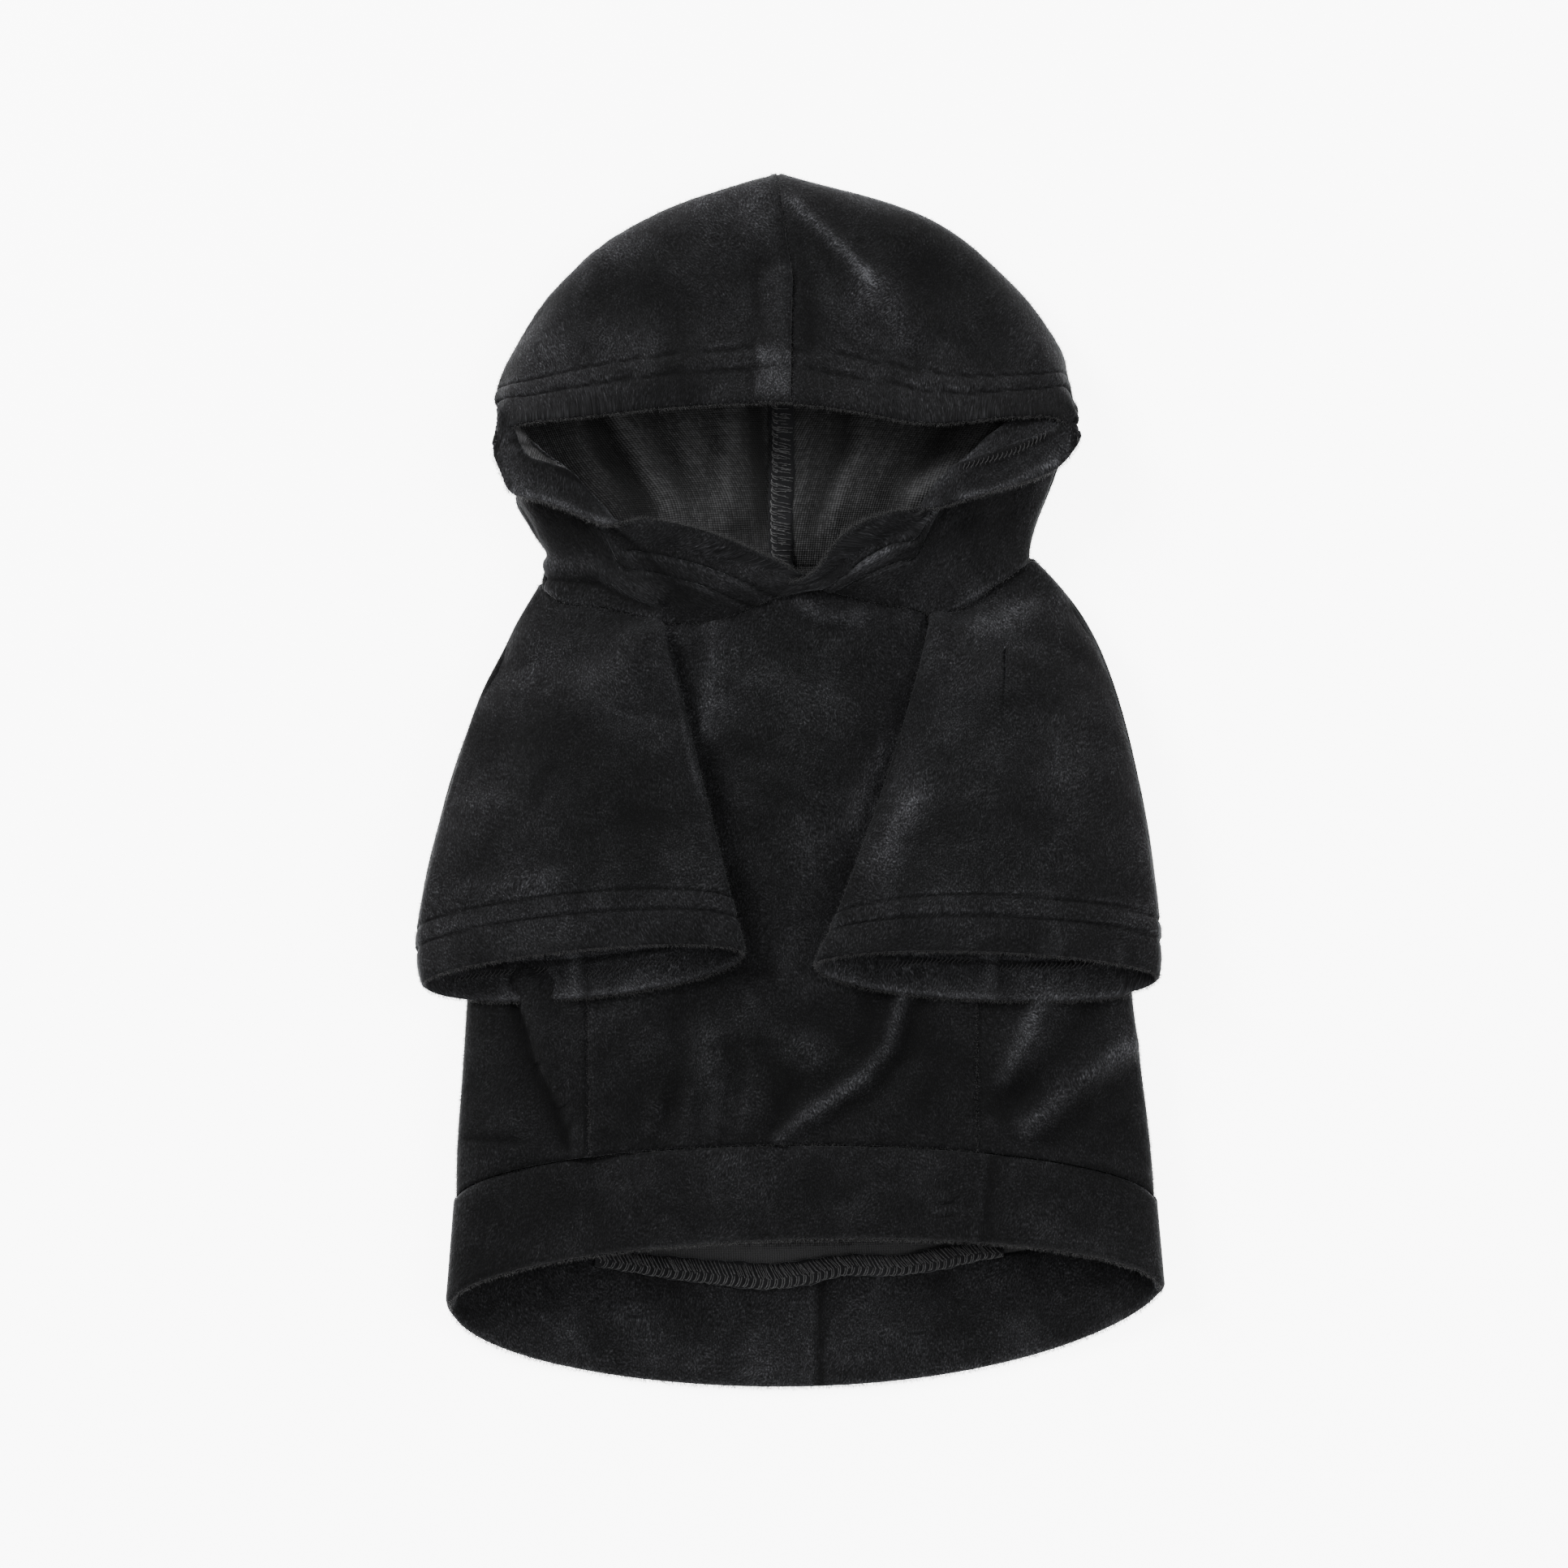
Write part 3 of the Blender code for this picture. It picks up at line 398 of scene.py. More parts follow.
# Where the hems' looper thread shows, in photograph pixels
STRIP_STITCHES = ((1186, 577), (1213, 569), (1251, 557), (1277, 543), (1299, 529))
CUFF_STITCHES = {
    -1: ((560, 1206), (610, 1199), (660, 1195), (690, 1194)),
    1: ((1092, 1190), (1140, 1184), (1180, 1182), (1208, 1184)),
}
CUFF_STITCHES_PAST_SEAM = {
    -1: ((722, 1200), (760, 1194), (800, 1186), (850, 1180)),
    1: ((1232, 1192), (1270, 1190), (1320, 1189), (1360, 1186)),
}
BAND_FOLDS = (
    (((1160, 1486), (1172, 1483)), -0.9, 1.2, 1.2, -1.3),
    (((1150, 1493), (1174, 1490)), 0.5, 1.1, 1.1, 0.3),
    (((1162, 1499), (1172, 1497)), -0.5, 1.0, 1.0, -0.9),
    (((760, 1440), (770, 1500)), 0.5, 4.0, 4.0, 0.3),
    (((905, 1425), (918, 1480)), 0.4, 4.0, 4.0, 0.4),
    (((1090, 1425), (1064, 1490)), 0.4, 5.0, 5.0, 0.4),
    (((680, 1490), (720, 1480)), -0.3, 6.0, 6.0, -0.5),
    (((1330, 1480), (1350, 1540)), 0.4, 6.0, 6.0, 0.2),
)


def ease(value):
    """0 to 1 with level ends."""
    value = np.clip(value, 0.0, 1.0)
    return value * value * (3.0 - 2.0 * value)


def bell(value, middle, width):
    """1 at the middle, fading alike to both sides."""
    return np.exp(-(((value - middle) / width) ** 2))


def rounded(value):
    """A sine made boxier, so that a section is a flat tube with round side folds."""
    return np.sign(value) * np.sqrt(np.abs(value))


def column(table, index):
    return np.array([row[index] for row in table], dtype=float)


def through(knots, values, where):
    """A smooth curve through the values at the knots."""
    where = np.clip(where, knots[0], knots[-1])
    slopes = np.gradient(values, knots)
    span = np.clip(np.searchsorted(knots, where, side="right") - 1, 0, len(knots) - 2)
    width = knots[span + 1] - knots[span]
    t = (where - knots[span]) / width
    start = values[span] * (2 * t**3 - 3 * t**2 + 1) + values[span + 1] * (3 * t**2 - 2 * t**3)
    lean = slopes[span] * (t**3 - 2 * t**2 + t) + slopes[span + 1] * (t**3 - t**2)
    return start + width * lean


def side_folds(station):
    left = -BODY_HALF_WIDTH * through(column(BODY_TABLE, 0), column(BODY_TABLE, 1), station)
    right = BODY_HALF_WIDTH * through(column(BODY_TABLE, 0), column(BODY_TABLE, 2), station)
    return left, right


def tube_height(station):
    return BODY_HEIGHT * through(column(BODY_TABLE, 0), column(BODY_TABLE, 3), station)


def neck_y(across, upper):
    dip = NECK_DIP * through(column(NECK_TABLE, 0), column(NECK_TABLE, 1), across)
    rise = NECK_BACK_RISE * np.sqrt(np.clip(1.0 - across * across, 0.0, 1.0))
    shift = through(column(NECK_SHIFTS, 0), column(NECK_SHIFTS, 1), across) / 1000
    shift = shift * np.where(upper, 1.0, ease((np.abs(across) - 0.7) / 0.3))
    return NECK_SIDE_Y + np.where(upper, -dip, rise) + shift


def waist_y(across, upper):
    arch = np.sqrt(np.clip(1.0 - across * across, 0.0, 1.0))
    return WAIST_SIDE_Y + np.where(upper, WAIST_FRONT_RISE, -WAIST_BACK_DROP) * arch


def body_point(station, angle):
    """A point of the tube's middle surface."""
    station, angle = np.broadcast_arrays(station, angle)
    left, right = side_folds(station)
    across = np.cos(angle)
    upper = np.sin(angle) >= 0
    x = (left + right) / 2 + (right - left) / 2 * across
    y = (1 - station) * neck_y(across, upper) + station * waist_y(across, upper)
    section = rounded(np.sin(angle))
    section = np.where(upper, section, np.maximum(-1.0, FLOOR_SQUASH * section))
    z = WALL / 2 + tube_height(station) / 2 * (1 + section)
    return np.stack([x, y, z], axis=-1)


def angle_at(station, x):
    left, right = side_folds(station)
    return np.arccos(np.clip((x - (left + right) / 2) / ((right - left) / 2), -1.0, 1.0))


def chest_edges(station):
    stations = column(CHEST_TABLE, 0)
    left = BODY_HALF_WIDTH * np.interp(station, stations, column(CHEST_TABLE, 1))
    right = BODY_HALF_WIDTH * np.interp(station, stations, column(CHEST_TABLE, 2))
    return left, right


# The solids stand with their middle on the origin, and the hood's overlock says how far they moved
overlock_low, overlock_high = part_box("hood_overlock")
MOVED = np.array([
    (overlock_low[0] + overlock_high[0]) / 2 - HOOD_OVERLOCK_X * HOOD_HALF_WIDTH,
    overlock_low[1] - HOOD_BASE_Y - HOOD_OVERLOCK_START * HOOD_LENGTH,
    0.0,
])


def spot(pixel):
    """Where a pixel of the photograph lies on the garment."""
    return (pixel[0] - ORIGIN_PIXEL[0]) * PIXEL, (ORIGIN_PIXEL[1] - pixel[1]) * PIXEL


def near_line(points, line, left, right, shift=0.0):
    """1 on a line, fading over its left and right widths. A shift moves the line sideways."""
    x, y = points[..., 0] - shift, points[..., 1]
    close = np.zeros_like(x)
    ends = [spot(pixel) for pixel in line]
    for (x0, y0), (x1, y1) in zip(ends, ends[1:]):
        run_x, run_y = x1 - x0, y1 - y0
        length = math.hypot(run_x, run_y)
        along = np.clip(((x - x0) * run_x + (y - y0) * run_y) / length**2, 0.0, 1.0)
        off_x, off_y = x - x0 - along * run_x, y - y0 - along * run_y
        away = np.hypot(off_x, off_y)
        lean = (run_x * off_y - run_y * off_x) / (length * np.maximum(away, 1e-9))
        width = (left + right) / 2 + (left - right) / 2 * lean
        close = np.maximum(close, np.exp(-((away / width) ** 2)))
    return close


def folded(points, table, where):
    """The lift, and the painted highlight and shade, that a table of folds gives, where the panel shows."""
    lift = np.zeros(points.shape[:2])
    lie_and_painted_light = np.zeros(points.shape[:2])
    for line, rise, left, right, lighter in table:
        close = near_line(points, line, left / 1000, right / 1000) * where
        lift += rise / 1000 * close
        lie_and_painted_light += lighter * close
    return lift, lie_and_painted_light


def nap_and_painted_light(points, where):
    """How much lighter or darker the patches, partly leaning pile and partly painted highlight and shade,
    and the painted light along seams make the cloth.
    """
    lie_and_painted_light = np.zeros(points.shape[:2])
    sway = [waves(points, PATCH_SWAY_LENGTH, 71), waves(points, PATCH_SWAY_LENGTH, 72), 0 * lie_and_painted_light]
    bent = points + PATCH_SWAY * np.stack(sway, axis=-1)
    for across, down, radius, lighter in NAP_AND_SHADE_PATCHES:
        x, y = spot((across, down))
        away = np.hypot(bent[..., 0] - x, bent[..., 1] - y) / (radius / 1000)
        strength = NAP_AND_HIGHLIGHT_GAIN if lighter > 0 else NAP_AND_SHADE_GAIN
        lie_and_painted_light += strength * lighter * np.exp(-(away**2)) * where
    for line, left, right, lighter in PAINTED_SEAM_LIGHTS:
        lie_and_painted_light += lighter * near_line(points, line, left / 1000, right / 1000) * where
    return lie_and_painted_light


def waves(points, length, seed, count=14):
    """Smooth noise of about unit height: a sum of sine waves in random directions."""
    random = np.random.default_rng(seed)
    total = np.zeros(points.shape[:-1])
    for _ in range(count):
        direction = random.normal(size=3)
        direction *= 2 * math.pi / (np.linalg.norm(direction) * length * random.uniform(0.7, 1.5))
        total += np.sin(points @ direction + random.uniform(0, 2 * math.pi))
    return total * math.sqrt(2 / count)


def normals(points, wrap=False):
    """The unit normals of a grid of points."""
    across = np.gradient(points, axis=1)
    if wrap:
        inner = points[:, :-1]
        turned = (np.roll(inner, -1, axis=1) - np.roll(inner, 1, axis=1)) / 2
        across = np.concatenate([turned, turned[:, :1]], axis=1)
    along = np.gradient(points, axis=0)
    normal = np.cross(across, along)
    return normal / np.maximum(np.linalg.norm(normal, axis=-1, keepdims=True), 1e-12)


def run_length(points, axis):
    """How far each grid point is along its row or column from the first one."""
    steps = np.linalg.norm(np.diff(points, axis=axis), axis=-1)
    start = np.zeros_like(np.take(steps, [0], axis=axis))
    return np.concatenate([start, np.cumsum(steps, axis=axis)], axis=axis)


def curve(knots, places, where):
    """Points on a smooth curve through the knots, which are at the given places along it."""
    return np.stack([through(places, knots[:, axis], where) for axis in range(knots.shape[1])], axis=-1)


def between(line, length, where):
    """Points on a polyline at the given lengths along it."""
    return np.stack([np.interp(where, length, line[:, axis]) for axis in range(line.shape[1])], axis=-1)


def square_to(line):
    """The directions that point to the left of a line seen from above."""
    run = np.gradient(line, axis=0)
    run /= np.linalg.norm(run, axis=1, keepdims=True)
    return np.stack([-run[:, 1], run[:, 0]], axis=-1)


def hem(from_edge, along_edge):
    """A twin-needle hem's lift, wall share and painted highlight and shade at a distance from the edge."""
    first, second = HEM_LINES
    outside = np.sin(math.pi * np.clip(from_edge / first, 0, 1))
    inside = np.sin(math.pi * np.clip((from_edge - first) / (second - first), 0, 1))
    lift = np.where(from_edge < first, HEM_SWELL * outside, 0.0) + HEM_SWELL * inside
    wall = np.ones_like(from_edge)
    hem_painted_light = 0.25 * inside
    pull = 0.75 + 0.25 * np.cos(2 * math.pi * along_edge / HEM_STITCH)
    for line in HEM_LINES:
        groove = bell(from_edge, line, HEM_GROOVE) * pull
        lip = bell(from_edge - line, 2 * HEM_GROOVE, HEM_GROOVE)
        lift += HEM_LIP_RISE * lip - HEM_GROOVE_DEPTH * groove
        hem_painted_light += 0.75 * lip - 1.4 * groove
        wall -= 0.25 * groove
    return lift, wall, hem_painted_light


def soft_edge(distance, wall=WALL):
    """The share of the wall that a cloth's rounded edge has at a distance from it."""
    inside = np.clip(distance / (wall / 2), 0.0, 1.0)
    return np.maximum(np.sqrt(1.0 - (1.0 - inside) ** 2), 0.12)


def crowded(count, reach=0.02):
    """Shares from 0 to 1, close together at both ends, which are rounded edges."""
    shares = np.linspace(0, 1, count)
    for at_start in (True, False):
        place = shares if at_start else 1 - shares
        place = place - 0.9 / count * np.exp(-place / reach) * np.minimum(1, place * count)
        shares = place if at_start else 1 - place
    return np.clip(shares, 0, 1)


def only(piece):
    bpy.ops.object.select_all(action="DESELECT")
    piece.select_set(True)
    bpy.context.view_layer.objects.active = piece


def cloth(name, points, materials, uv, wall_share, lie_and_painted_light, wall=WALL, hem_faces=None, gone=None, wrap=False):
    """A panel: a grid laid on its surface, then thickened. Materials are the outer and the inner side's."""
    rows, columns = points.shape[:2]
    bpy.ops.object.select_all(action="DESELECT")
    bpy.ops.mesh.primitive_grid_add(x_subdivisions=columns - 1, y_subdivisions=rows - 1, size=1)
    piece = bpy.context.object
    piece.name = name
    piece.data.name = name
    mesh = piece.data
    mesh.vertices.foreach_set("co", (points + MOVED).astype(np.float32).ravel())
    corner = np.empty(len(mesh.loops), dtype=np.int32)
    mesh.loops.foreach_get("vertex_index", corner)
    mesh.uv_layers.active.data.foreach_set("uv", uv.reshape(-1, 2)[corner].astype(np.float32).ravel())
    # The attribute holds how much lighter the cloth is: partly where the pile leans another way, partly
    # painted highlight and painted shade
    attribute = mesh.attributes.new("lie_and_painted_light", "FLOAT", "POINT")
    attribute.data.foreach_set("value", lie_and_painted_light.astype(np.float32).ravel())
    outside, inside = materials
    for material in (outside, inside, outside, outside):
        mesh.materials.append(material)
    if hem_faces is not None:
        mesh.polygons.foreach_set("material_index", np.where(hem_faces, 2, 0).astype(np.int32).ravel())
    group = piece.vertex_groups.new(name="wall")
    levels = np.round(np.clip(wall_share.ravel(), 0, 1) * WALL_LEVELS).astype(int)
    for level in np.unique(levels):
        group.add(np.flatnonzero(levels == level).tolist(), level / WALL_LEVELS, "REPLACE")
    mesh.polygons.foreach_set("use_smooth", np.ones(len(mesh.polygons), dtype=bool))
    if gone is not None:
        only(piece)
        bpy.ops.object.mode_set(mode="EDIT")
        bpy.ops.mesh.select_mode(type="FACE")
        bpy.ops.object.mode_set(mode="OBJECT")
        mesh.polygons.foreach_set("select", gone.ravel())
        bpy.ops.object.mode_set(mode="EDIT")
        bpy.ops.mesh.delete(type="FACE")
        bpy.ops.object.mode_set(mode="OBJECT")
    if wrap:
        only(piece)
        bpy.ops.object.mode_set(mode="EDIT")
        bpy.ops.mesh.select_all(action="SELECT")
        bpy.ops.mesh.remove_doubles(threshold=1e-6)
        bpy.ops.object.mode_set(mode="OBJECT")
    thicken = piece.modifiers.new("wall", "SOLIDIFY")
    thicken.thickness = wall
    thicken.offset = 0.0
    thicken.vertex_group = "wall"
    thicken.material_offset = 1
    only(piece)
    bpy.ops.object.modifier_apply(modifier=thicken.name)
    piece.vertex_groups.clear()
    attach(piece, "root")
    return piece


def shader_of(material):
    material.use_nodes = True
    return material.node_tree, material.node_tree.nodes["Principled BSDF"]


def node(tree, kind, **values):
    """Adds a node. Values whose name is an input's go there, and others are the node's own settings."""
    made = tree.nodes.new(kind)
    for key, value in values.items():
        if key in made.inputs:
            made.inputs[key].default_value = value
        else:
            setattr(made, key, value)
    return made


def log_ramp(tree, source, target, low, high, tint=(0.97, 0.98, 1.06)):
    """Turns 0 to 1 into a brightness that grows by an equal factor with each equal step."""
    ramp = node(tree, "ShaderNodeValToRGB")
    tree.links.new(source, ramp.inputs["Fac"])
    stops = ramp.color_ramp.elements
    for index, share in enumerate((0.0, 0.25, 0.5, 0.75, 1.0)):
        stop = stops[index * (len(stops) - 1)] if index < 2 else stops.new(share)
        stop.position = share
    for stop in stops:
        value = low * (high / low) ** stop.position
        stop.color = (value * tint[0], value * tint[1], value * tint[2], 1)
    tree.links.new(ramp.outputs["Color"], target)


def weighed(tree, sources, offset):
    """A sum of values, each with its own weight."""
    total = None
    for source, weight in sources:
        step = node(tree, "ShaderNodeMath", operation="MULTIPLY_ADD")
        tree.links.new(source, step.inputs[0])
        step.inputs[1].default_value = weight
        step.inputs[2].default_value = offset
        if total is not None:
            tree.links.new(total, step.inputs[2])
        total = step.outputs["Value"]
    return total


def velour(name, low=0.0007, high=0.0420):
    """Short black pile: random patches where it leans different ways, with fine tufts."""
    material = bpy.data.materials.new(name)
    tree, shader = shader_of(material)
    link = tree.links.new
    uv = node(tree, "ShaderNodeUVMap")
    swirl = node(tree, "ShaderNodeTexNoise", Scale=45.0, Detail=2.0, Roughness=0.5)
    link(uv.outputs["UV"], swirl.inputs["Vector"])
    centred = node(tree, "ShaderNodeVectorMath", operation="SUBTRACT")
    link(swirl.outputs["Color"], centred.inputs[0])
    centred.inputs[1].default_value = (0.5, 0.5, 0.5)
    bent = node(tree, "ShaderNodeVectorMath", operation="MULTIPLY_ADD")
    link(centred.outputs["Vector"], bent.inputs[0])
    bent.inputs[1].default_value = (0.012, 0.012, 0.0)
    link(uv.outputs["UV"], bent.inputs[2])
    stretched = node(tree, "ShaderNodeVectorMath", operation="MULTIPLY")
    link(bent.outputs["Vector"], stretched.inputs[0])
    stretched.inputs[1].default_value = (1.0, 0.56, 1.0)
    tufts = node(tree, "ShaderNodeTexNoise", Scale=2300.0, Detail=2.0, Roughness=0.65)
    link(stretched.outputs["Vector"], tufts.inputs["Vector"])
    locks = node(tree, "ShaderNodeTexNoise", Scale=520.0, Detail=3.0, Roughness=0.6)
    link(stretched.outputs["Vector"], locks.inputs["Vector"])
    place = node(tree, "ShaderNodeTexCoord")
    patches = node(tree, "ShaderNodeTexNoise", Scale=60.0, Detail=2.5, Roughness=0.45, Distortion=0.6)
    link(place.outputs["Object"], patches.inputs["Vector"])
    # The mesh attribute's painted highlight and shade, with the pile's leaning patches
    lie_and_painted_light = node(tree, "ShaderNodeAttribute", attribute_name="lie_and_painted_light")
    level = weighed(tree, (
        (tufts.outputs["Fac"], 1.75),
        (locks.outputs["Fac"], 0.50),
        (patches.outputs["Fac"], 0.60),
        (lie_and_painted_light.outputs["Fac"], 0.185),
    ), -1.06)
    log_ramp(tree, level, shader.inputs["Base Color"], low, high)
    fine = node(tree, "ShaderNodeBump", Strength=0.6, Distance=0.00030)
    link(tufts.outputs["Fac"], fine.inputs["Height"])
    coarse = node(tree, "ShaderNodeBump", Strength=0.5, Distance=0.0009)
    link(locks.outputs["Fac"], coarse.inputs["Height"])
    link(fine.outputs["Normal"], coarse.inputs["Normal"])
    link(coarse.outputs["Normal"], shader.inputs["Normal"])
    shader.inputs["Roughness"].default_value = 0.9
    shader.inputs["Specular IOR Level"].default_value = 0.08
    shader.inputs["Sheen Weight"].default_value = 0.07
    shader.inputs["Sheen Roughness"].default_value = 0.35
    shader.inputs["Sheen Tint"].default_value = (0.92, 0.94, 1.0, 1.0)
    return material


def knit(name, low=0.0016, high=0.0300):
    """The velour's inner side: fine wales of small loops."""
    material = bpy.data.materials.new(name)
    tree, shader = shader_of(material)
    link = tree.links.new
    uv = node(tree, "ShaderNodeUVMap")
    parts = node(tree, "ShaderNodeSeparateXYZ")
    link(uv.outputs["UV"], parts.inputs["Vector"])

    def wave(source, pitch):
        turn = node(tree, "ShaderNodeMath", operation="MULTIPLY")
        link(source, turn.inputs[0])
        turn.inputs[1].default_value = 2 * math.pi / pitch
        made = node(tree, "ShaderNodeMath", operation="SINE")
        link(turn.outputs["Value"], made.inputs[0])
        return made.outputs["Value"]

    wales = wave(parts.outputs["X"], WALE)
    courses = wave(parts.outputs["Y"], COURSE)
    loops = weighed(tree, ((wales, 1.0), (courses, 0.8)), 0.0)
    cloud = node(tree, "ShaderNodeTexNoise", Scale=150.0, Detail=4.0, Roughness=0.6)
    link(uv.outputs["UV"], cloud.inputs["Vector"])

    def speckle(across, along):
        """A random value for each cell of the knit."""
        cell = node(tree, "ShaderNodeVectorMath", operation="SNAP")
        link(uv.outputs["UV"], cell.inputs[0])
        cell.inputs[1].default_value = (across, along, 1.0)
        made = node(tree, "ShaderNodeTexWhiteNoise")
        link(cell.outputs["Vector"], made.inputs["Vector"])
        return made.outputs["Value"]

    # The mesh attribute's painted highlight and shade, with the pile's leaning patches
    lie_and_painted_light = node(tree, "ShaderNodeAttribute", attribute_name="lie_and_painted_light")
    level = weighed(tree, (
        (loops, 0.17),
        (cloud.outputs["Fac"], 0.25),
        (speckle(WALE, COURSE), 0.29),
        (speckle(WALE, 22 * COURSE), 0.16),
        (speckle(22 * WALE, COURSE), 0.08),
        (lie_and_painted_light.outputs["Fac"], 0.32),
    ), 0.155)
    log_ramp(tree, level, shader.inputs["Base Color"], low, high, tint=(1.0, 1.0, 1.03))
    relief = node(tree, "ShaderNodeBump", Strength=0.5, Distance=0.00015)
    link(loops, relief.inputs["Height"])
    link(relief.outputs["Normal"], shader.inputs["Normal"])
    shader.inputs["Roughness"].default_value = 0.8
    shader.inputs["Specular IOR Level"].default_value = 0.15
    shader.inputs["Sheen Weight"].default_value = 0.03
    return material


def thread(name, low=0.006, high=0.045):
    """Black sewing thread, or loose fibres."""
    material = bpy.data.materials.new(name)
    tree, shader = shader_of(material)
    place = node(tree, "ShaderNodeTexCoord")
    twist = node(tree, "ShaderNodeTexNoise", Scale=1500.0, Detail=2.0)
    tree.links.new(place.outputs["Object"], twist.inputs["Vector"])
    level = weighed(tree, ((twist.outputs["Fac"], 1.6),), -0.30)
    log_ramp(tree, level, shader.inputs["Base Color"], low, high, tint=(1.0, 1.0, 1.03))
    shader.inputs["Roughness"].default_value = 0.6
    shader.inputs["Specular IOR Level"].default_value = 0.25
    shader.inputs["Sheen Weight"].default_value = 0.05
    return material


VELOUR = velour("black_velour")
KNIT = knit("knit_back")
THREAD_BLACK = thread("black_thread", 0.009, 0.065)
# The looper thread is coloured far darker than black thread, as painted shade of its stitch holes
COVER_THREAD_AND_HOLE_SHADE = thread("cover_thread_and_hole_shade", 0.0007, 0.0065)
PILE = thread("loose_pile", 0.005, 0.022)
ALLOWANCE = velour("seam_allowance", 0.0030, 0.0420)


def joined(name, vertices, faces, material):
    """One piece of many small things, from their vertices and faces."""
    mesh = bpy.data.meshes.new(name)
    mesh.from_pydata(vertices.reshape(-1, 3).tolist(), [], faces)
    mesh.materials.append(material)
    mesh.polygons.foreach_set("use_smooth", np.ones(len(mesh.polygons), dtype=bool))
    piece = bpy.data.objects.new(name, mesh)
    bpy.context.collection.objects.link(piece)
    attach(piece, "root")
    return piece


def strands(lines, radius):
    """Tubes round many polylines of the same length, as vertices and faces."""
    count, length = lines.shape[:2]
    along = np.gradient(lines, axis=1)
    along /= np.maximum(np.linalg.norm(along, axis=-1, keepdims=True), 1e-12)
    sideways = np.cross(along, np.array([0.03, 0.02, 1.0]))
    sideways /= np.maximum(np.linalg.norm(sideways, axis=-1, keepdims=True), 1e-12)
    upward = np.cross(sideways, along)
    turn = np.arange(THREAD_SIDES) * 2 * math.pi / THREAD_SIDES
    radius = np.broadcast_to(radius, lines.shape[:2])[..., None, None]
    ring = np.cos(turn)[:, None] * sideways[:, :, None] + np.sin(turn)[:, None] * upward[:, :, None]
    vertices = lines[:, :, None] + radius * ring
    step = np.arange(count * length * THREAD_SIDES).reshape(count, length, THREAD_SIDES)
    here, ahead = step[:, :-1], step[:, 1:]
    walls = np.stack([here, np.roll(here, -1, axis=2), np.roll(ahead, -1, axis=2), ahead], axis=-1)
    return vertices, walls.reshape(-1, 4), step[:, 0], step[:, -1]


def sewn(name, lines, radius, material):
    """A piece of sewing thread along many polylines."""
    vertices, walls, first, last = strands(lines, radius)
    caps = first[:, ::-1].tolist() + last.tolist()
    joined(name, vertices, walls.tolist() + caps, material)


def coverstitch(name, line, points):
    """The looper thread of a twin-needle hem, which zigzags along a line on a panel's inner side."""
    ends = np.array([spot(pixel) for pixel in line])
    length = run_length(ends, 0)
    along = np.arange(0.0, length[-1], HEM_STITCH / 8)
    centre = curve(ends, length, along)
    square = square_to(centre)
    across = np.linspace(-1, 1, 6)
    dashes = []
    for start in range(0, len(along) - 8, 4):
        spread = np.clip(start + np.round(2.5 * across), 0, len(along) - 1).astype(int)
        plan = centre[spread] + (COVER_HALF_WIDTH * across)[:, None] * square[spread]
        away = np.linalg.norm(plan[:, None] - points[None, :, :2], axis=-1)
        height = np.where(away < 0.0016, points[None, :, 2], 0.0).max(axis=1) + WALL / 2
        dashes.append(np.column_stack([plan, height.mean() * np.ones(6)]))
    sewn(name, np.stack(dashes), 0.8 * THREAD, COVER_THREAD_AND_HOLE_SHADE)


def spikes(roots, directions, lengths, radius, random):
    """Tapered closed fibres, four faces each."""
    directions = directions / np.maximum(np.linalg.norm(directions, axis=-1, keepdims=True), 1e-12)
    helper = random.normal(size=roots.shape)
    first = np.cross(directions, helper)
    first /= np.maximum(np.linalg.norm(first, axis=-1, keepdims=True), 1e-12)
    second = np.cross(directions, first)
    corners = []
    for corner in range(3):
        turn = corner * 2 * math.pi / 3
        corners.append(roots + radius * (math.cos(turn) * first + math.sin(turn) * second))
    tips = roots + directions * lengths[:, None]
    vertices = np.stack(corners + [tips], axis=1)
    base = 4 * np.arange(len(roots))[:, None]
    faces = np.concatenate([base + np.array(face) for face in ((0, 1, 3), (1, 2, 3), (2, 0, 3), (2, 1, 0))])
    return vertices.reshape(-1, 3), faces


def loose_pile(name, points, outwards, density, rims, seed):
    """Fibres that stand out from a panel and its rims. The density is per square millimetre."""
    random = np.random.default_rng(seed)
    corner = points[:-1, :-1]
    right = points[:-1, 1:] - corner
    down = points[1:, :-1] - corner
    area = np.linalg.norm(np.cross(right, down), axis=-1) * 1e6
    counts = random.poisson(area * density[:-1, :-1])
    rows, columns = np.nonzero(counts)
    rows, columns = (np.repeat(index, counts[rows, columns]) for index in (rows, columns))
    share = random.uniform(size=(2, len(rows), 1))
    roots = corner[rows, columns] + share[0] * right[rows, columns] + share[1] * down[rows, columns]
    normal = outwards[rows, columns]
    roots = roots + normal * WALL * 0.35
    lean = random.normal(scale=PILE_SPREAD, size=roots.shape)
    made = [spikes(roots, normal + lean, random.uniform(*PILE_LENGTHS, len(roots)), PILE_RADIUS, random)]
    for line, outward, reach in rims:
        length = run_length(line, 0)
        where = random.uniform(0, length[-1], int(length[-1] * 1000 * RIM_FIBRES * reach**2))
        roots = between(line, length, where)
        away = between(outward, length, where)
        roots = roots + random.normal(scale=0.00035, size=roots.shape)
        lean = random.normal(scale=RIM_SPREAD, size=roots.shape)
        size = reach * random.uniform(*RIM_LENGTHS, len(roots))
        made.append(spikes(roots, away + lean, size, PILE_RADIUS, random))
    start, vertices, faces = 0, [], []
    for corners, triangles in made:
        vertices.append(corners)
        faces.append(triangles + start)
        start += len(corners)
    vertices = np.concatenate(vertices)
    vertices[:, 2] = np.maximum(vertices[:, 2], 0.0001)
    joined(name, vertices, np.concatenate(faces).tolist(), PILE)


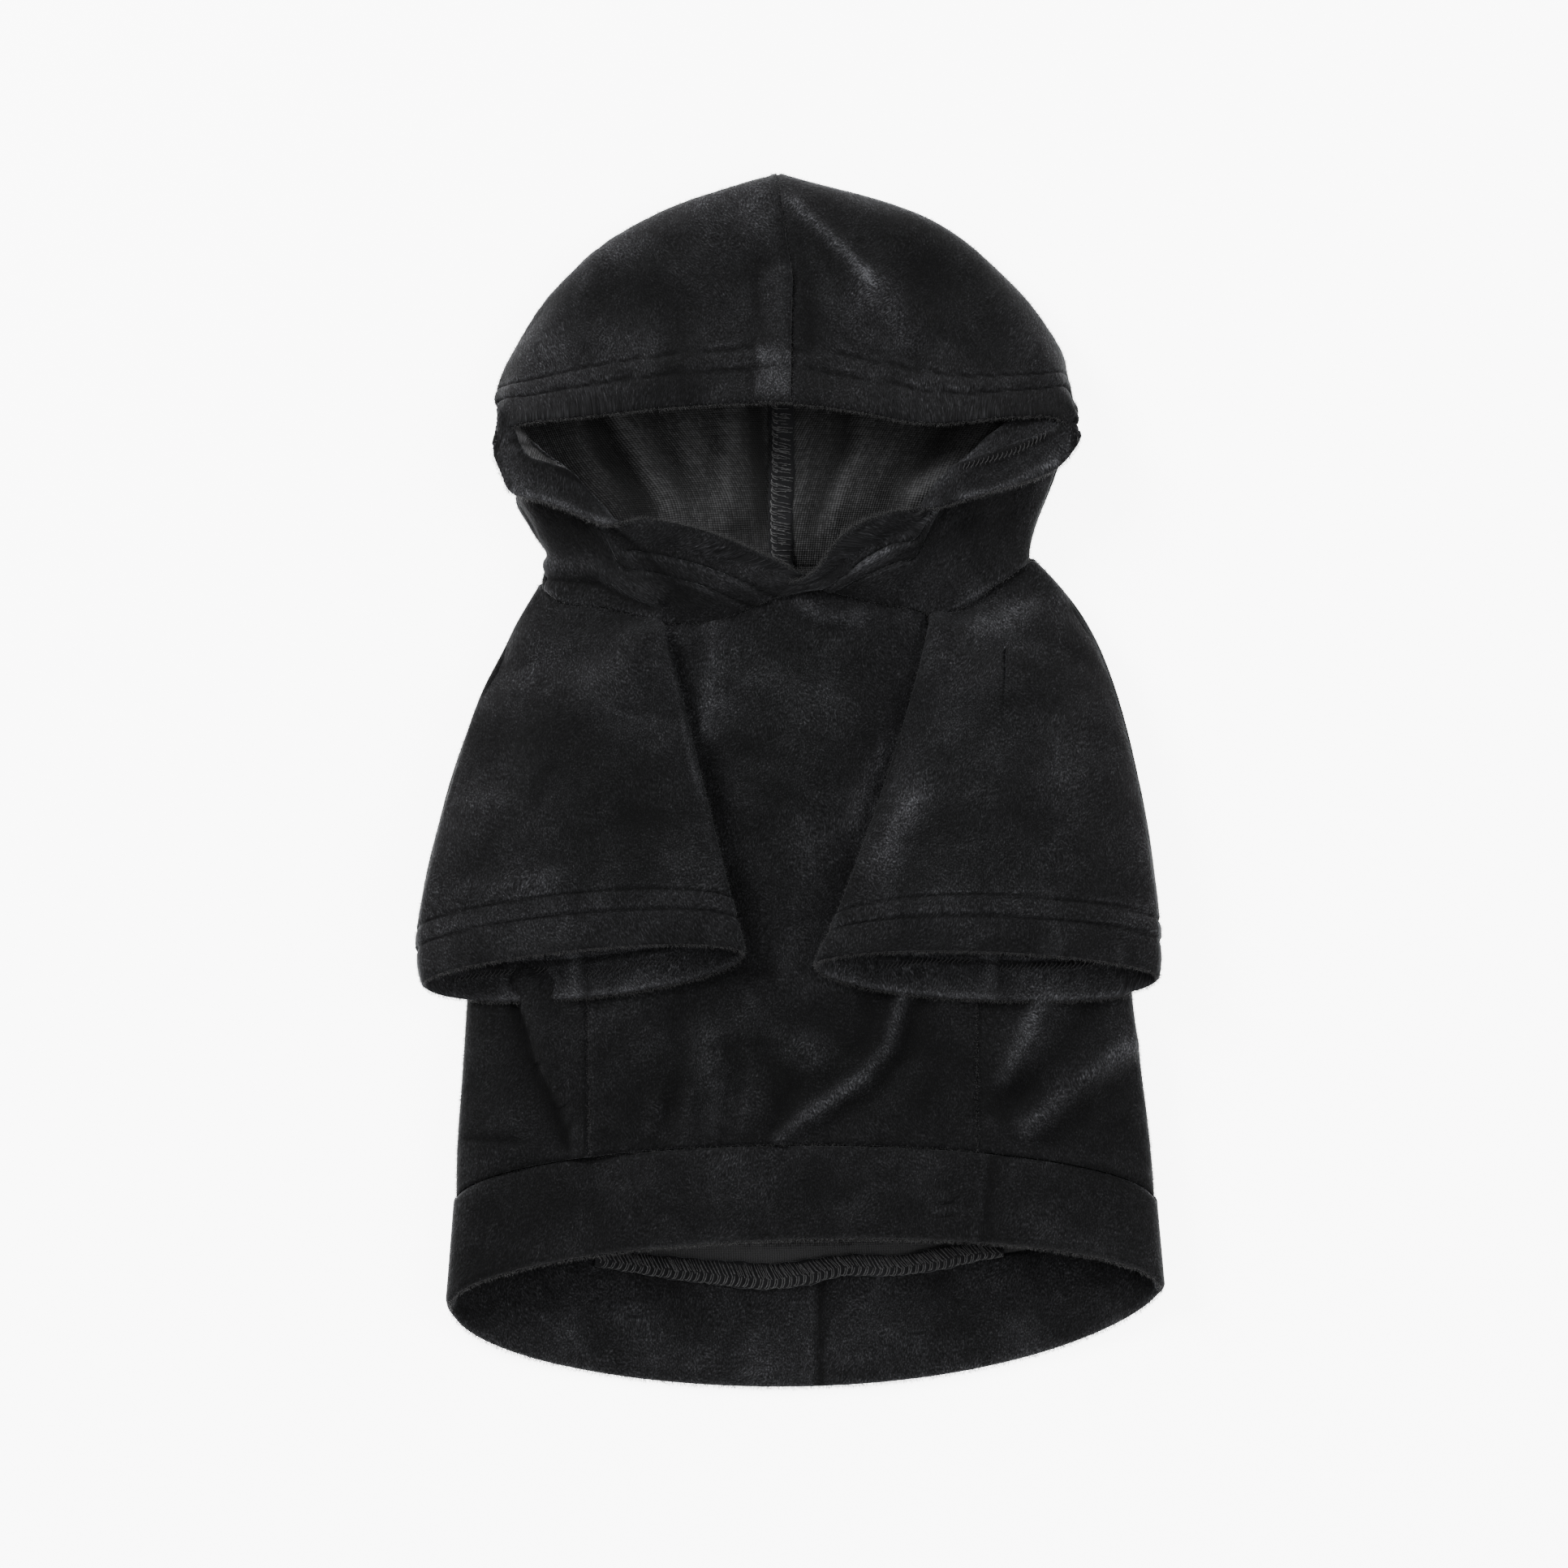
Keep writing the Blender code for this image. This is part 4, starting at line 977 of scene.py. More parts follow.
def edge_on(outwards, points):
    """1 where a surface stands nearly upright and shows as an outline from above."""
    return ease((0.45 - np.abs(outwards[..., 2])) / 0.2) * (points[..., 2] > WALL)


def rim_of(line, before, reach=1.0, upward=0.0):
    """A rim's line with the direction that leads off its edge, and its fibres' share of a full length."""
    outward = line - before
    outward = outward / np.maximum(np.linalg.norm(outward, axis=-1, keepdims=True), 1e-12)
    return line + np.array([0, 0, upward * WALL / 2]), outward + np.array([0, 0, upward]), reach


def seams_of(grid, rows=(0, -1), columns=(0, -1)):
    """The short pile along a panel's sewn edges, which hides the seams."""
    rims = [rim_of(grid[at], grid[2 if at == 0 else -3], SHORT_PILE, 1.0) for at in rows]
    rims += [rim_of(grid[:, at], grid[:, 2 if at == 0 else -3], SHORT_PILE, 1.0) for at in columns]
    return rims


def panel_uv(points):
    """Pattern coordinates in metres on the cloth."""
    across = run_length(points, 1)
    across = across - across.mean(axis=1, keepdims=True)
    return np.stack([across, run_length(points, 0)], axis=-1)


def seam_dip(distance, depth=0.0004, width=0.0016):
    """How far a sewn edge is pulled in at a distance from the seam."""
    return -depth * np.exp(-distance / width)


def gathers(points, from_waist):
    """Small puckers where the body is sewn to its band."""
    pull = np.exp(-from_waist / 0.010)
    fine = waves(points * np.array([1.0, 0.25, 0.0]), 0.0085, 21)
    strong = 0.35 + 0.65 * bell(points[..., 0], -0.022, 0.020)
    return 0.00045 * pull * fine * strong


def make_chest():
    rows, columns = 170, 112
    station = crowded(rows)[:, None]
    left, right = chest_edges(station)
    start, stop = angle_at(station, left), angle_at(station, right)
    share = crowded(columns)[None, :]
    points = body_point(station, start + share * (stop - start))
    across = run_length(points, 1)
    along = run_length(points, 0)
    side = np.minimum(across, across[:, -1:] - across)
    ends = np.minimum(along, along[-1:] - along)
    lift, lie_and_painted_light = folded(points + MOVED, BODY_FOLDS, np.ones(points.shape[:2]))
    from_waist = along[-1:] - along
    lie_and_painted_light += nap_and_painted_light(points + MOVED, 1.0) - 0.4 * ease((0.060 - from_waist) / 0.02)
    lie_and_painted_light += 0.5 * bell(side, 0.0, 0.0016)
    lift += seam_dip(side, 0.0002) + seam_dip(ends) + gathers(points, from_waist)
    lift += 0.00025 * waves(points, 0.020, 3) * ease((ends - 0.002) / 0.01)
    points = points - lift[..., None] * normals(points)
    wall = soft_edge(np.minimum(side, ends))
    flipped, uv, wall, lie_and_painted_light = (grid[:, ::-1] for grid in (points, panel_uv(points), wall, lie_and_painted_light))
    piece = cloth("chest_cloth", flipped, (VELOUR, KNIT), uv, wall, lie_and_painted_light)
    rims = seams_of(points + MOVED)
    loose_pile("chest_pile", points + MOVED, -normals(points), np.zeros(points.shape[:2]), rims, 98)
    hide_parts("chest_panel")


def make_back():
    flap, under = 34, 90
    rows = 156
    station = crowded(rows)[:, None]
    left, right = chest_edges(station)
    left_angle, right_angle = angle_at(station, left), angle_at(station, right)
    turn = np.linspace(0, 1, flap + 1)[None, :]
    floor = np.linspace(0, 1, under + 1)[None, 1:-1]
    angles = np.concatenate([
        left_angle + turn * (math.pi - left_angle),
        math.pi + floor * math.pi + 0 * station,
        2 * math.pi + turn * right_angle,
    ], axis=1)
    points = body_point(station, angles)
    points[:, -flap - 1:, :] = body_point(station, turn * right_angle)
    across = run_length(points, 1)
    along = run_length(points, 0)
    side = np.minimum(across, across[:, -1:] - across)
    ends = np.minimum(along, along[-1:] - along)
    upward = np.clip(np.sin(angles), 0.0, 1.0)
    shown = ease(np.abs(np.sin(angles)) / 0.3) * (np.sin(angles) > 0)
    lift, lie_and_painted_light = folded(points + MOVED, BODY_FOLDS, shown)
    from_waist = along[-1:] - along
    # Painted light on the knit strip seen inside the waist, over the shade it lies in
    knit_strip = (np.sin(angles) < -0.2) * ease((0.010 - from_waist) / 0.006)
    lie_and_painted_light += nap_and_painted_light(points + MOVED, shown) + KNIT_STRIP_PAINTED_LIGHT * knit_strip - 0.5 * upward
    seams = seam_dip(side, 0.0002) + gathers(points, from_waist)
    lift += upward * (seams + 0.00025 * waves(points, 0.020, 3))
    points = points + lift[..., None] * normals(points)
    points[..., 2] = np.maximum(points[..., 2], WALL / 2)
    wall = soft_edge(np.minimum(side, ends))
    at_row = np.arange(rows - 1)[:, None]
    at_column = np.arange(points.shape[1] - 1)[None, :]
    on_flap = (at_column < flap) | (at_column >= points.shape[1] - 1 - flap)
    armpit_row = int(ARMPIT_STATION * rows)
    gone = on_flap & (at_row < armpit_row)
    piece = cloth("back_cloth", points, (VELOUR, KNIT), panel_uv(points), wall, lie_and_painted_light, gone=gone)
    outwards = normals(points)
    bare = np.zeros(points.shape[:2])
    bare[:-1, :-1] = gone
    density = OUTLINE_FIBRES * edge_on(outwards, points) * (1 - bare)
    rims = seams_of((points + MOVED)[armpit_row:], ())
    loose_pile("back_pile", points + MOVED, outwards, density, rims, 97)
    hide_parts("back_panel")


def make_band():
    rows, columns = 34, 330
    angle = np.linspace(0, 2 * math.pi, columns)
    sines = np.sin(angle)
    upper = sines >= 0
    left, right = side_folds(np.array(1.0))
    seam = body_point(1.0, angle)
    seam[:, 1] += np.where(upper, -NECK_GAP, WAIST_LAP)
    seam[:, 2] += np.where(upper, 0.0, (BAND_WALL - WALL) / 2)
    rim = seam.copy()
    rim[:, 0] += (BAND_HALF_WIDTH - (right - left) / 2) * np.cos(angle)
    arc = np.abs(sines) ** (BAND_BACK_ARC + BAND_BACK_ARC_LEAN * np.cos(angle))
    rim[:, 1] = BAND_SIDE_Y + np.where(upper, BAND_FRONT_RISE * np.abs(sines), -BAND_BACK_DROP * arc)
    rim[:, 1] += BAND_LEAN / 2 * np.cos(angle)
    rim[:, 2] += BAND_LIFT * np.clip(sines, 0.0, 1.0)
    share = crowded(rows, reach=0.05)[:, None, None]
    points = seam[None] + share * (rim - seam)[None]
    along = run_length(points, 0)
    ends = np.minimum(along, along[-1:] - along)
    shown = np.clip(sines * 3, 0, 1)[None, :] * np.ones((rows, 1))
    lift, lie_and_painted_light = folded(points + MOVED, BAND_FOLDS, shown)
    lie_and_painted_light += nap_and_painted_light(points + MOVED, 1.0)
    lift += shown * (seam_dip(along, 0.0009) + 0.00022 * waves(points, 0.022, 8))
    points = points + lift[..., None] * normals(points, wrap=True)
    points[..., 2] = np.maximum(points[..., 2], BAND_WALL / 2)
    wall = soft_edge(ends, BAND_WALL)
    placed = points + MOVED
    joint = near_line(placed, BAND_JOINT, 0.0012, 0.0012) * shown
    beside = near_line(placed, BAND_JOINT, 0.0012, 0.0012, shift=-0.0026) * shown
    behind = near_line(placed, BAND_BACK_SEAM, 0.0013, 0.0013) * (1 - shown)
    crest = near_line(placed, BAND_BACK_SEAM, 0.0018, 0.0018, shift=-0.0034)
    wall = wall * (1 - 0.45 * joint) * (1 - 0.30 * behind)
    # The joint and the back seam are dark lines, with a painted highlight beside the joint and on the back
    # seam's crest; the inner side is lighter, with painted rim light along its lower edge
    lie_and_painted_light = lie_and_painted_light - 1.1 * joint + 0.6 * beside - 1.7 * behind + 0.4 * crest * (1 - shown) - 0.30
    lie_and_painted_light = lie_and_painted_light + (1 - shown) * (0.65 + 0.8 * ease((0.0022 - (along[-1:] - along)) / 0.001))
    piece = cloth(
        "waistband_cloth", points, (VELOUR, VELOUR), panel_uv(points), wall, lie_and_painted_light, wall=BAND_WALL,
        wrap=True,
    )
    outwards = normals(points, wrap=True)
    half = columns // 2
    rims = [rim_of(placed[-1], placed[-3]), *seams_of(placed[:, :half], (0,), ())]
    loose_pile("waistband_pile", placed, outwards, OUTLINE_FIBRES * edge_on(outwards, points), rims, 95)
    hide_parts("waistband")


def pushed_clear(points, clearance):
    """The points, with those within a clearance of the tube's wall pushed out square to its section."""
    x, y, z = points[:, 0], points[:, 1], points[:, 2]
    across = np.clip(x / BODY_HALF_WIDTH, -1.0, 1.0)
    top, bottom = neck_y(across, True), waist_y(across, True)
    station = np.clip((top - y) / (top - bottom), 0.0, 1.0)
    left, right = side_folds(station)
    half = tube_height(station) / 2
    middle = np.stack([(left + right) / 2, WALL / 2 + half], axis=-1)
    away = np.stack([x, z], axis=-1) - middle
    reach = np.stack([(right - left) / 2 + clearance, half + clearance], axis=-1)
    wide, high = ((away / reach) ** 2).T
    inside = wide + high * high < 1
    square = (np.sqrt(wide**2 + 4 * high**2) - wide) / np.maximum(2 * high**2, 1e-9)
    grow = np.where(high > 1e-4, np.sqrt(square), 1 / np.sqrt(np.maximum(wide, 1e-9)))
    moved = middle + away * np.where(inside, grow, 1.0)[:, None]
    return np.column_stack([moved[:, 0], y, moved[:, 1]])


def armhole(side, shares):
    """The sleeve's base loop on the tube: neck edge, side fold, armpit and back up the chest seam."""
    armpit = ARMPIT_STATION - SLEEVE_INSET / (NECK_SIDE_Y - WAIST_SIDE_Y)
    edge = 0 if side < 0 else 1
    fold = math.pi if side < 0 else 0.0

    def on_edge(station):
        inset = SEAM_GAP + (SLEEVE_INSET - SEAM_GAP) * ease(station / NECK_CORNER_STATION)
        return station, angle_at(station, chest_edges(station)[edge] + side * inset)

    top, pit = on_edge(0.0), on_edge(armpit)
    knots = np.array(ARMHOLE_CORNERS)
    stations = np.interp(shares, knots, [0.0, 0.0, armpit, armpit, 0.0])
    angles = np.interp(shares, knots, [top[1], fold, fold, pit[1], top[1]])
    angles = np.where(shares > knots[3], on_edge(stations)[1], angles)
    loop = body_point(stations, angles)
    for _ in range(ARMHOLE_ROUNDS):
        loop = 0.5 * loop + 0.25 * (np.roll(loop, 1, axis=0) + np.roll(loop, -1, axis=0))
    on_fold = (shares >= knots[1]) & (shares <= knots[2])
    loop[:, 2] += np.where(on_fold, 2 * SEAM_GAP, 0.0)
    return np.where((shares > knots[2])[:, None], pushed_clear(loop, SLEEVE_BASE_LIFT), loop)


def make_sleeve(name, side, inner_x, inner_y, outer_x, outer_y, inner_bow, skew):
    rows, columns = 118, 216
    shares = np.arange(columns) / columns
    base = armhole(side, shares)
    lower = shares > ARMHOLE_CORNERS[1]
    below = np.where(lower, shares * 2 - 1, 0.0)
    angles = np.where(lower, math.pi * (1 + below**1.5), 2 * math.pi * shares)
    outward = (1 - np.cos(angles)) / 2
    corner = np.array([inner_x * SLEEVE_OUTER_X, NECK_SIDE_Y - inner_y * CUFF_REACH])
    far_corner = np.array([side * outer_x * SLEEVE_OUTER_X, NECK_SIDE_Y - outer_y * CUFF_REACH])
    cuff = corner + outward[:, None] * (far_corner - corner)
    cuff[:, 1] += np.where(lower, CUFF_DROP, CUFF_RISE) * np.sin(angles)
    sideways = np.where(lower, (ARMHOLE_CORNERS[3] - shares) * 8, shares * 4)
    reach = RISE_AT_CHEST + (RISE_AT_SIDE - RISE_AT_CHEST) * ease(sideways)
    clearance = WALL + LAYER_GAP
    bows = column(OUTER_BOW_TABLE, 1 if side < 0 else 2)
    taken_up, less_below = OUTER_SPREAD[side]
    spread = taken_up - less_below * ease((shares - 0.5) / 0.07)
    lines = [base]
    for along in crowded(rows)[1:]:
        plan = base[:, :2] + along * (cuff - base[:, :2])
        outer_bow = through(column(OUTER_BOW_TABLE, 0), bows, along) / 1000
        inner = SLEEVE_BULGE * inner_bow * abs(math.sin(math.pi * along**skew)) ** BOW_BLUNTNESS
        outer = outer_bow * spread * np.clip(2 * outward - 1, 0.0, 1.0) ** 1.1
        plan[:, 0] += side * np.where(outward > 0.5, outer, inner * (1 - outward) ** 2)
        gap = SLEEVE_APEX_HEIGHT + (SLEEVE_HEIGHT - SLEEVE_APEX_HEIGHT) * ease(along / FULL_HEIGHT_AT)
        level = WALL / 2 + BODY_HEIGHT + clearance - SLEEVE_DROOP * outward**3
        height = level + gap / 2 * (1 + rounded(np.sin(angles)))
        z = base[:, 2] + ease(along / reach) * (height - base[:, 2])
        stand = LEAST_STAND + (1 - LEAST_STAND) * ease(along / FULL_STAND_AT)
        low = pushed_clear(np.column_stack([plan, z]), clearance * stand)
        high = pushed_clear(np.column_stack([plan, z]), (clearance + SLEEVE_APEX_HEIGHT) * stand)
        share = np.clip(np.sin(angles), 0.0, 1.0)[:, None]
        lines.append(low + share * (high - low))
    points = np.stack(lines)
    points = np.concatenate([points, points[:, :1]], axis=1)
    angles = np.append(angles, 2 * math.pi)
    along = run_length(points, 0)
    from_cuff = along[-1:] - along
    around = run_length(points, 1)
    upper = ease(np.sin(angles) * 4)[None, :] * np.ones((rows, 1))
    lift, lie_and_painted_light = folded(points + MOVED, SLEEVE_FOLDS, upper)
    seam_lift, wall, hem_painted_light = hem(from_cuff, around)
    # Painted light on the lower layer inside the cuff, in the upper layer's shade, and brighter at its
    # edge; the cuff seam is lighter and a band beside it darker
    lie_and_painted_light += hem_painted_light + nap_and_painted_light(points + MOVED, upper) + 1.1 * (1 - upper) * ease((0.02 - from_cuff) / 0.004)
    bump = near_line(points + MOVED, CUFF_SEAMS[side], 0.0020, 0.0020) * (1 - upper)
    beside = near_line(points + MOVED, CUFF_SEAMS[side], 0.0014, 0.0014, shift=0.0040) * (1 - upper)
    lie_and_painted_light += 0.5 * bump - 0.9 * beside + 0.5 * (1 - upper) * ease((0.0022 - from_cuff) / 0.001)
    lift -= 0.0012 * bump
    lift += seam_lift + upper * 0.00035 * waves(points, 0.024, 40 + side) * ease(along / 0.02)
    lift += upper * seam_dip(along)
    outwards = -side * normals(points, wrap=True)
    points = points + lift[..., None] * outwards
    # Painted light along the sleeve's sewn base, over the seam's shade, and painted shade on its upright
    # sides
    lie_and_painted_light += 0.5 * upper * bell(along, 0.0, 0.0012) - EDGE_SHADE * edge_on(outwards, points)
    wall = wall * soft_edge(np.minimum(along, from_cuff))
    hem_faces = (from_cuff < HEM_END)[:-1, :-1]
    lower_layer = (points + MOVED)[(upper < 0.5) & (from_cuff < 0.02)]
    coverstitch(name + "_stitches", CUFF_STITCHES[side], lower_layer)
    coverstitch(name + "_stitches_past_seam", CUFF_STITCHES_PAST_SEAM[side], lower_layer)
    uv = panel_uv(points)
    if side > 0:
        points, uv, wall, lie_and_painted_light, hem_faces, outwards = (
            grid[::-1] for grid in (points, uv, wall, lie_and_painted_light, hem_faces, outwards)
        )
    piece = cloth(name + "_cloth", points, (VELOUR, KNIT), uv, wall, lie_and_painted_light, hem_faces=hem_faces, wrap=True)
    placed = points + MOVED
    rim = (placed[-1], placed[-3]) if side < 0 else (placed[0], placed[2])
    density = OUTLINE_FIBRES * edge_on(outwards, points)
    loose_pile(name + "_pile", placed, outwards, density, [rim_of(*rim)], 80 + side)
    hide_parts(name)


def hood_line(side, row):
    """One line of cloth from the neck seam to the hood's rim, as six points."""
    neck, lap, turn_x, turn_y, low, high, rim_x, rim_y, rim_z = row
    angle = math.pi / 2 - side * math.pi * neck
    start = body_point(0.0, np.array(angle))
    start[0] *= HOOD_NECK_TAKE_IN
    sideways = abs(math.cos(angle)) ** 1.5 if math.sin(angle) > 0 else 0.0
    over_raglan = sum(bell(start[0], corner, 0.0045) for corner in RAGLAN_TOPS)
    start[1] -= NECK_LAP + RAGLAN_LAP * over_raglan * (math.sin(angle) > 0)
    start[2] += lap * CHIN_LAP_LIFT + NECK_LAP_LIFT + sideways * NECK_LAP
    turn = np.array([
        turn_x * HOOD_HALF_WIDTH,
        HOOD_BASE_Y + turn_y * HOOD_LENGTH,
        (low + high) / 2 * HOOD_HEIGHT,
    ])
    rim = np.array([
        rim_x * HOOD_HALF_WIDTH,
        HOOD_BASE_Y + rim_y * HOOD_LENGTH,
        rim_z * HOOD_HEIGHT,
    ])
    back, ahead = np.linalg.norm((start - turn)[:2]), np.linalg.norm((rim - turn)[:2])
    before = turn + min(HOOD_FOLD / back, MOST_TURN_SHARE) * (start - turn)
    after = turn + min(HOOD_FOLD / ahead, MOST_TURN_SHARE) * (rim - turn)
    flat = 1 - ease((high - low) / LEAST_TURN)
    before = (1 - flat) * before + flat * (start + 0.6 * (turn - start))
    after = (1 - flat) * after + flat * (turn + 0.4 * (rim - turn))
    before[2] = max(WALL / 2, low * HOOD_HEIGHT)
    after[2] = high * HOOD_HEIGHT
    return np.stack([start, before, turn, after, 0.5 * (after + rim), rim])


def dome_shift(placed):
    """How far the centre seam wanders sideways on the hood's upper layer."""
    downs = np.array([spot((0, down))[1] for down in (520, 412, 340, 299, 211)])
    shifts = np.array([0.0042, 0.0042, 0.0046, 0.0029, 0.0])
    shift = np.interp(placed[..., 1], downs, shifts)
    near = bell(placed[..., 0], 0.0, 0.035)
    return shift * near * ease((placed[..., 2] - 0.007) / 0.005)


def collar_pinch(placed):
    """How far the collar's sides are drawn in above the neck seam, right and left."""
    above = placed[..., 1] - spot((0, 690))[1]
    right = 0.0020 * bell(above, 0.0080, 0.0120)
    left = 0.0034 * bell(above, 0.0010, 0.0050) - 0.0030 * bell(above, 0.0172, 0.0060)
    return np.where(placed[..., 0] > 0, right, left) * ease((np.abs(placed[..., 0]) - 0.050) / 0.02)


def make_hood_half(name, side, table):
    """One half of the hood, from the chin round its side to the centre seam."""
    across_count, along_count = 190, 118
    knots_of_table = np.arange(len(table), dtype=float)
    where = crowded(across_count) * (len(table) - 1)
    columns = np.stack([through(knots_of_table, column(table, at), where) for at in range(len(table[0]))])
    share = crowded(along_count)
    lines = []
    for row in columns.T:
        line = hood_line(side, row)
        knots = np.cumsum(np.append(0.0, np.sqrt(np.linalg.norm(np.diff(line, axis=0), axis=1))))
        track = curve(line, knots, np.linspace(0, knots[-1], 400))
        length = run_length(track, 0)
        lines.append(between(track, length, share * length[-1]))
    points = np.stack(lines)
    points[..., 2] = np.maximum(points[..., 2], WALL / 2)
    points[..., 0] += dome_shift(points + MOVED) - side * collar_pinch(points + MOVED)
    along = run_length(points, 1)
    around = run_length(points, 0)
    from_rim = along[:, -1:] - along
    from_centre = around[-1:] - around
    placed = points + MOVED
    outwards = -side * normals(points)
    facing = outwards[..., 2]
    centre = np.arange(across_count)[:, None] / across_count > 0.55
    top = ease((facing - 0.2) / 0.3) * centre
    floor = ease((0.2 - facing) / 0.5) * ease((0.013 - points[..., 2]) / 0.005) * (along > 0.004)
    collar = ease(facing / 0.3) * ~centre
    lift, lie_and_painted_light = folded(placed, HOOD_TOP_FOLDS, top)
    floor_lift, floor_painted_light = folded(placed, HOOD_FLOOR_FOLDS, floor * ease(along / 0.02))
    collar_lift, collar_painted_light = folded(placed, HOOD_COLLAR_FOLDS, collar)
    floor_lift += 0.0008 * floor
    strip = ease(-facing / 0.3) * ease((points[..., 2] - 0.011) / 0.004)
    strip = strip * ease((0.024 - from_rim) / 0.002) * ~centre
    strip_lift, strip_painted_light = folded(placed, HOOD_STRIP_FOLDS, strip)
    lift += collar_lift - floor_lift - strip_lift
    # Painted light on the turned-over strip, which lies in shade under the brim
    lie_and_painted_light += collar_painted_light + floor_painted_light + strip_painted_light + 0.5 * strip
    lift += 0.00035 * top * waves(points, 0.026, 60 + side)
    hem_lift, wall, hem_painted_light = hem(from_rim, around)
    lie_and_painted_light += hem_painted_light * ease(points[..., 2] / 0.008) + nap_and_painted_light(placed, top + collar)
    lift += hem_lift + seam_dip(along) * collar + seam_dip(from_centre, 0.0009) * top
    if side < 0:
        allowance = ease((0.0105 - from_centre) / 0.0012) * ease((0.042 - from_rim) / 0.002) * top
        lift += 0.0010 * allowance
        light = allowance * ease((HEM_END - from_rim) / 0.001) * ease((from_rim - 0.002) / 0.001)
        lie_and_painted_light += 0.5 * allowance + 0.9 * light
    # Painted shade on the upright sides
    lie_and_painted_light -= EDGE_SHADE * edge_on(outwards, points)
    points = points + lift[..., None] * outwards
    points[..., 2] = np.maximum(points[..., 2], WALL / 2)
    wall = wall * soft_edge(np.minimum(np.minimum(along, from_rim), from_centre))
    hem_width = HEM_END + (0.010 * strip if side > 0 else -0.0055 * strip)
    hem_faces = (from_rim < hem_width)[:-1, :-1]
    # More painted light on the strip beyond the hem
    lie_and_painted_light += 0.15 * strip * (from_rim > hem_width)
    if side > 0:
        coverstitch(name + "_stitches", STRIP_STITCHES, (points + MOVED)[strip > 0.5])
    uv = np.stack([around - around.mean(axis=0), along], axis=-1)
    placed = points + MOVED
    rims = [rim_of(placed[:, -1], placed[:, -3]), *seams_of(placed[across_count // 2:], (-1,), ())]
    rims += seams_of(placed, (), (0,))
    density = OUTLINE_FIBRES * edge_on(outwards, points)
    loose_pile(name + "_pile", placed, outwards, density, rims, 90 + side)
    if side > 0:
        points, uv, wall, lie_and_painted_light, hem_faces = (grid[::-1] for grid in (points, uv, wall, lie_and_painted_light, hem_faces))
    piece = cloth(name + "_cloth", points, (VELOUR, KNIT), uv, wall, lie_and_painted_light, hem_faces=hem_faces)
    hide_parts(name)


def overlock(
    name, node_name, path, widths, height, level, pitch, slant, span, chain_width, thread_radius,
    stray, seed,
):
    """A bound seam allowance: a soft bar with thread loops across it and needle thread along one side."""
    random = np.random.default_rng(seed)
    ends = np.array([spot(pixel) for pixel in path])
    length = run_length(ends, 0)
    fine = np.linspace(0, length[-1], 240)
    line = curve(ends, length, fine)
    width = np.interp(fine, length, np.array(widths) / 1000)
    square = square_to(line)

    def at(along, across, lift):
        """A point over the bar: across is -1 to 1 and lift is in bar heights."""
        x, y = (np.interp(along, fine, line[:, axis]) for axis in range(2))
        off = across * np.interp(along, fine, width) / 2
        x = x + off * np.interp(along, fine, square[:, 0])
        y = y + off * np.interp(along, fine, square[:, 1])
        return np.stack(np.broadcast_arrays(x, y, level + lift * height), axis=-1)

    turn = np.linspace(0, 2 * math.pi, BAR_SIDES + 1)[:-1]
    wobble = 1 + 0.05 * np.sin(fine[:, None] / 0.0011) + 0.04 * np.sin(fine[:, None] / 0.0031)
    body = at(fine[:, None], np.cos(turn) * wobble, np.sin(turn) * np.ones((len(fine), 1)) * 0.92)
    step = np.arange(len(body) * BAR_SIDES).reshape(len(body), BAR_SIDES)
    here, ahead = step[:-1], step[1:]
    walls = np.stack([here, np.roll(here, -1, axis=1), np.roll(ahead, -1, axis=1), ahead], axis=-1)
    faces = walls.reshape(-1, 4).tolist() + [step[0, ::-1].tolist(), step[-1].tolist()]
    bar = joined(name, body, faces, ALLOWANCE)
    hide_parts(node_name)

    starts = np.arange(0.0010, length[-1] - 0.0014, pitch)
    low_side, high_side = span
    loops = []
    for ply in (0, 1):
        where = starts + random.normal(scale=stray * pitch, size=len(starts)) + 2.2 * ply * thread_radius
        ends_at = low_side + random.uniform(-1.0, 1.0, size=len(starts)) * stray
        reach = high_side - ends_at - random.uniform(0.0, 1.6, size=len(starts)) * stray
        spread = ends_at[:, None] + reach[:, None] * np.linspace(0, 1, 8)
        lean = slant + random.normal(scale=stray, size=len(starts)) * 0.0012
        rise = np.sqrt(np.clip(1 - spread**2, 0, 1)) * 0.97 + 0.06
        loops.append(at(where[:, None] + lean[:, None] * spread, spread, rise))
    loops = np.concatenate(loops)
    loops = loops + random.normal(scale=0.00005, size=loops.shape)
    sewn(name + "_loops", loops, thread_radius, THREAD_BLACK)
    curl = np.linspace(0, 2 * math.pi * len(starts) * pitch / CHAIN_STITCH, 12 * len(starts))
    along = 0.0012 + curl / (2 * math.pi) * CHAIN_STITCH
    chains = []
    for ply in (0.0, 1.9):
        wander = 0.05 * np.sin(curl / 3.7 + ply)
        across = low_side - chain_width + (chain_width + wander) * np.sin(curl + ply)
        rise = 0.80 * np.sqrt(np.clip(1 - across**2, 0.1, 1)) + 0.22 * np.cos(curl + ply)
        chains.append(at(along + 0.0004 * np.cos(curl + ply), across, rise))
    sewn(name + "_chain", np.stack(chains), 1.5 * thread_radius, THREAD_BLACK)


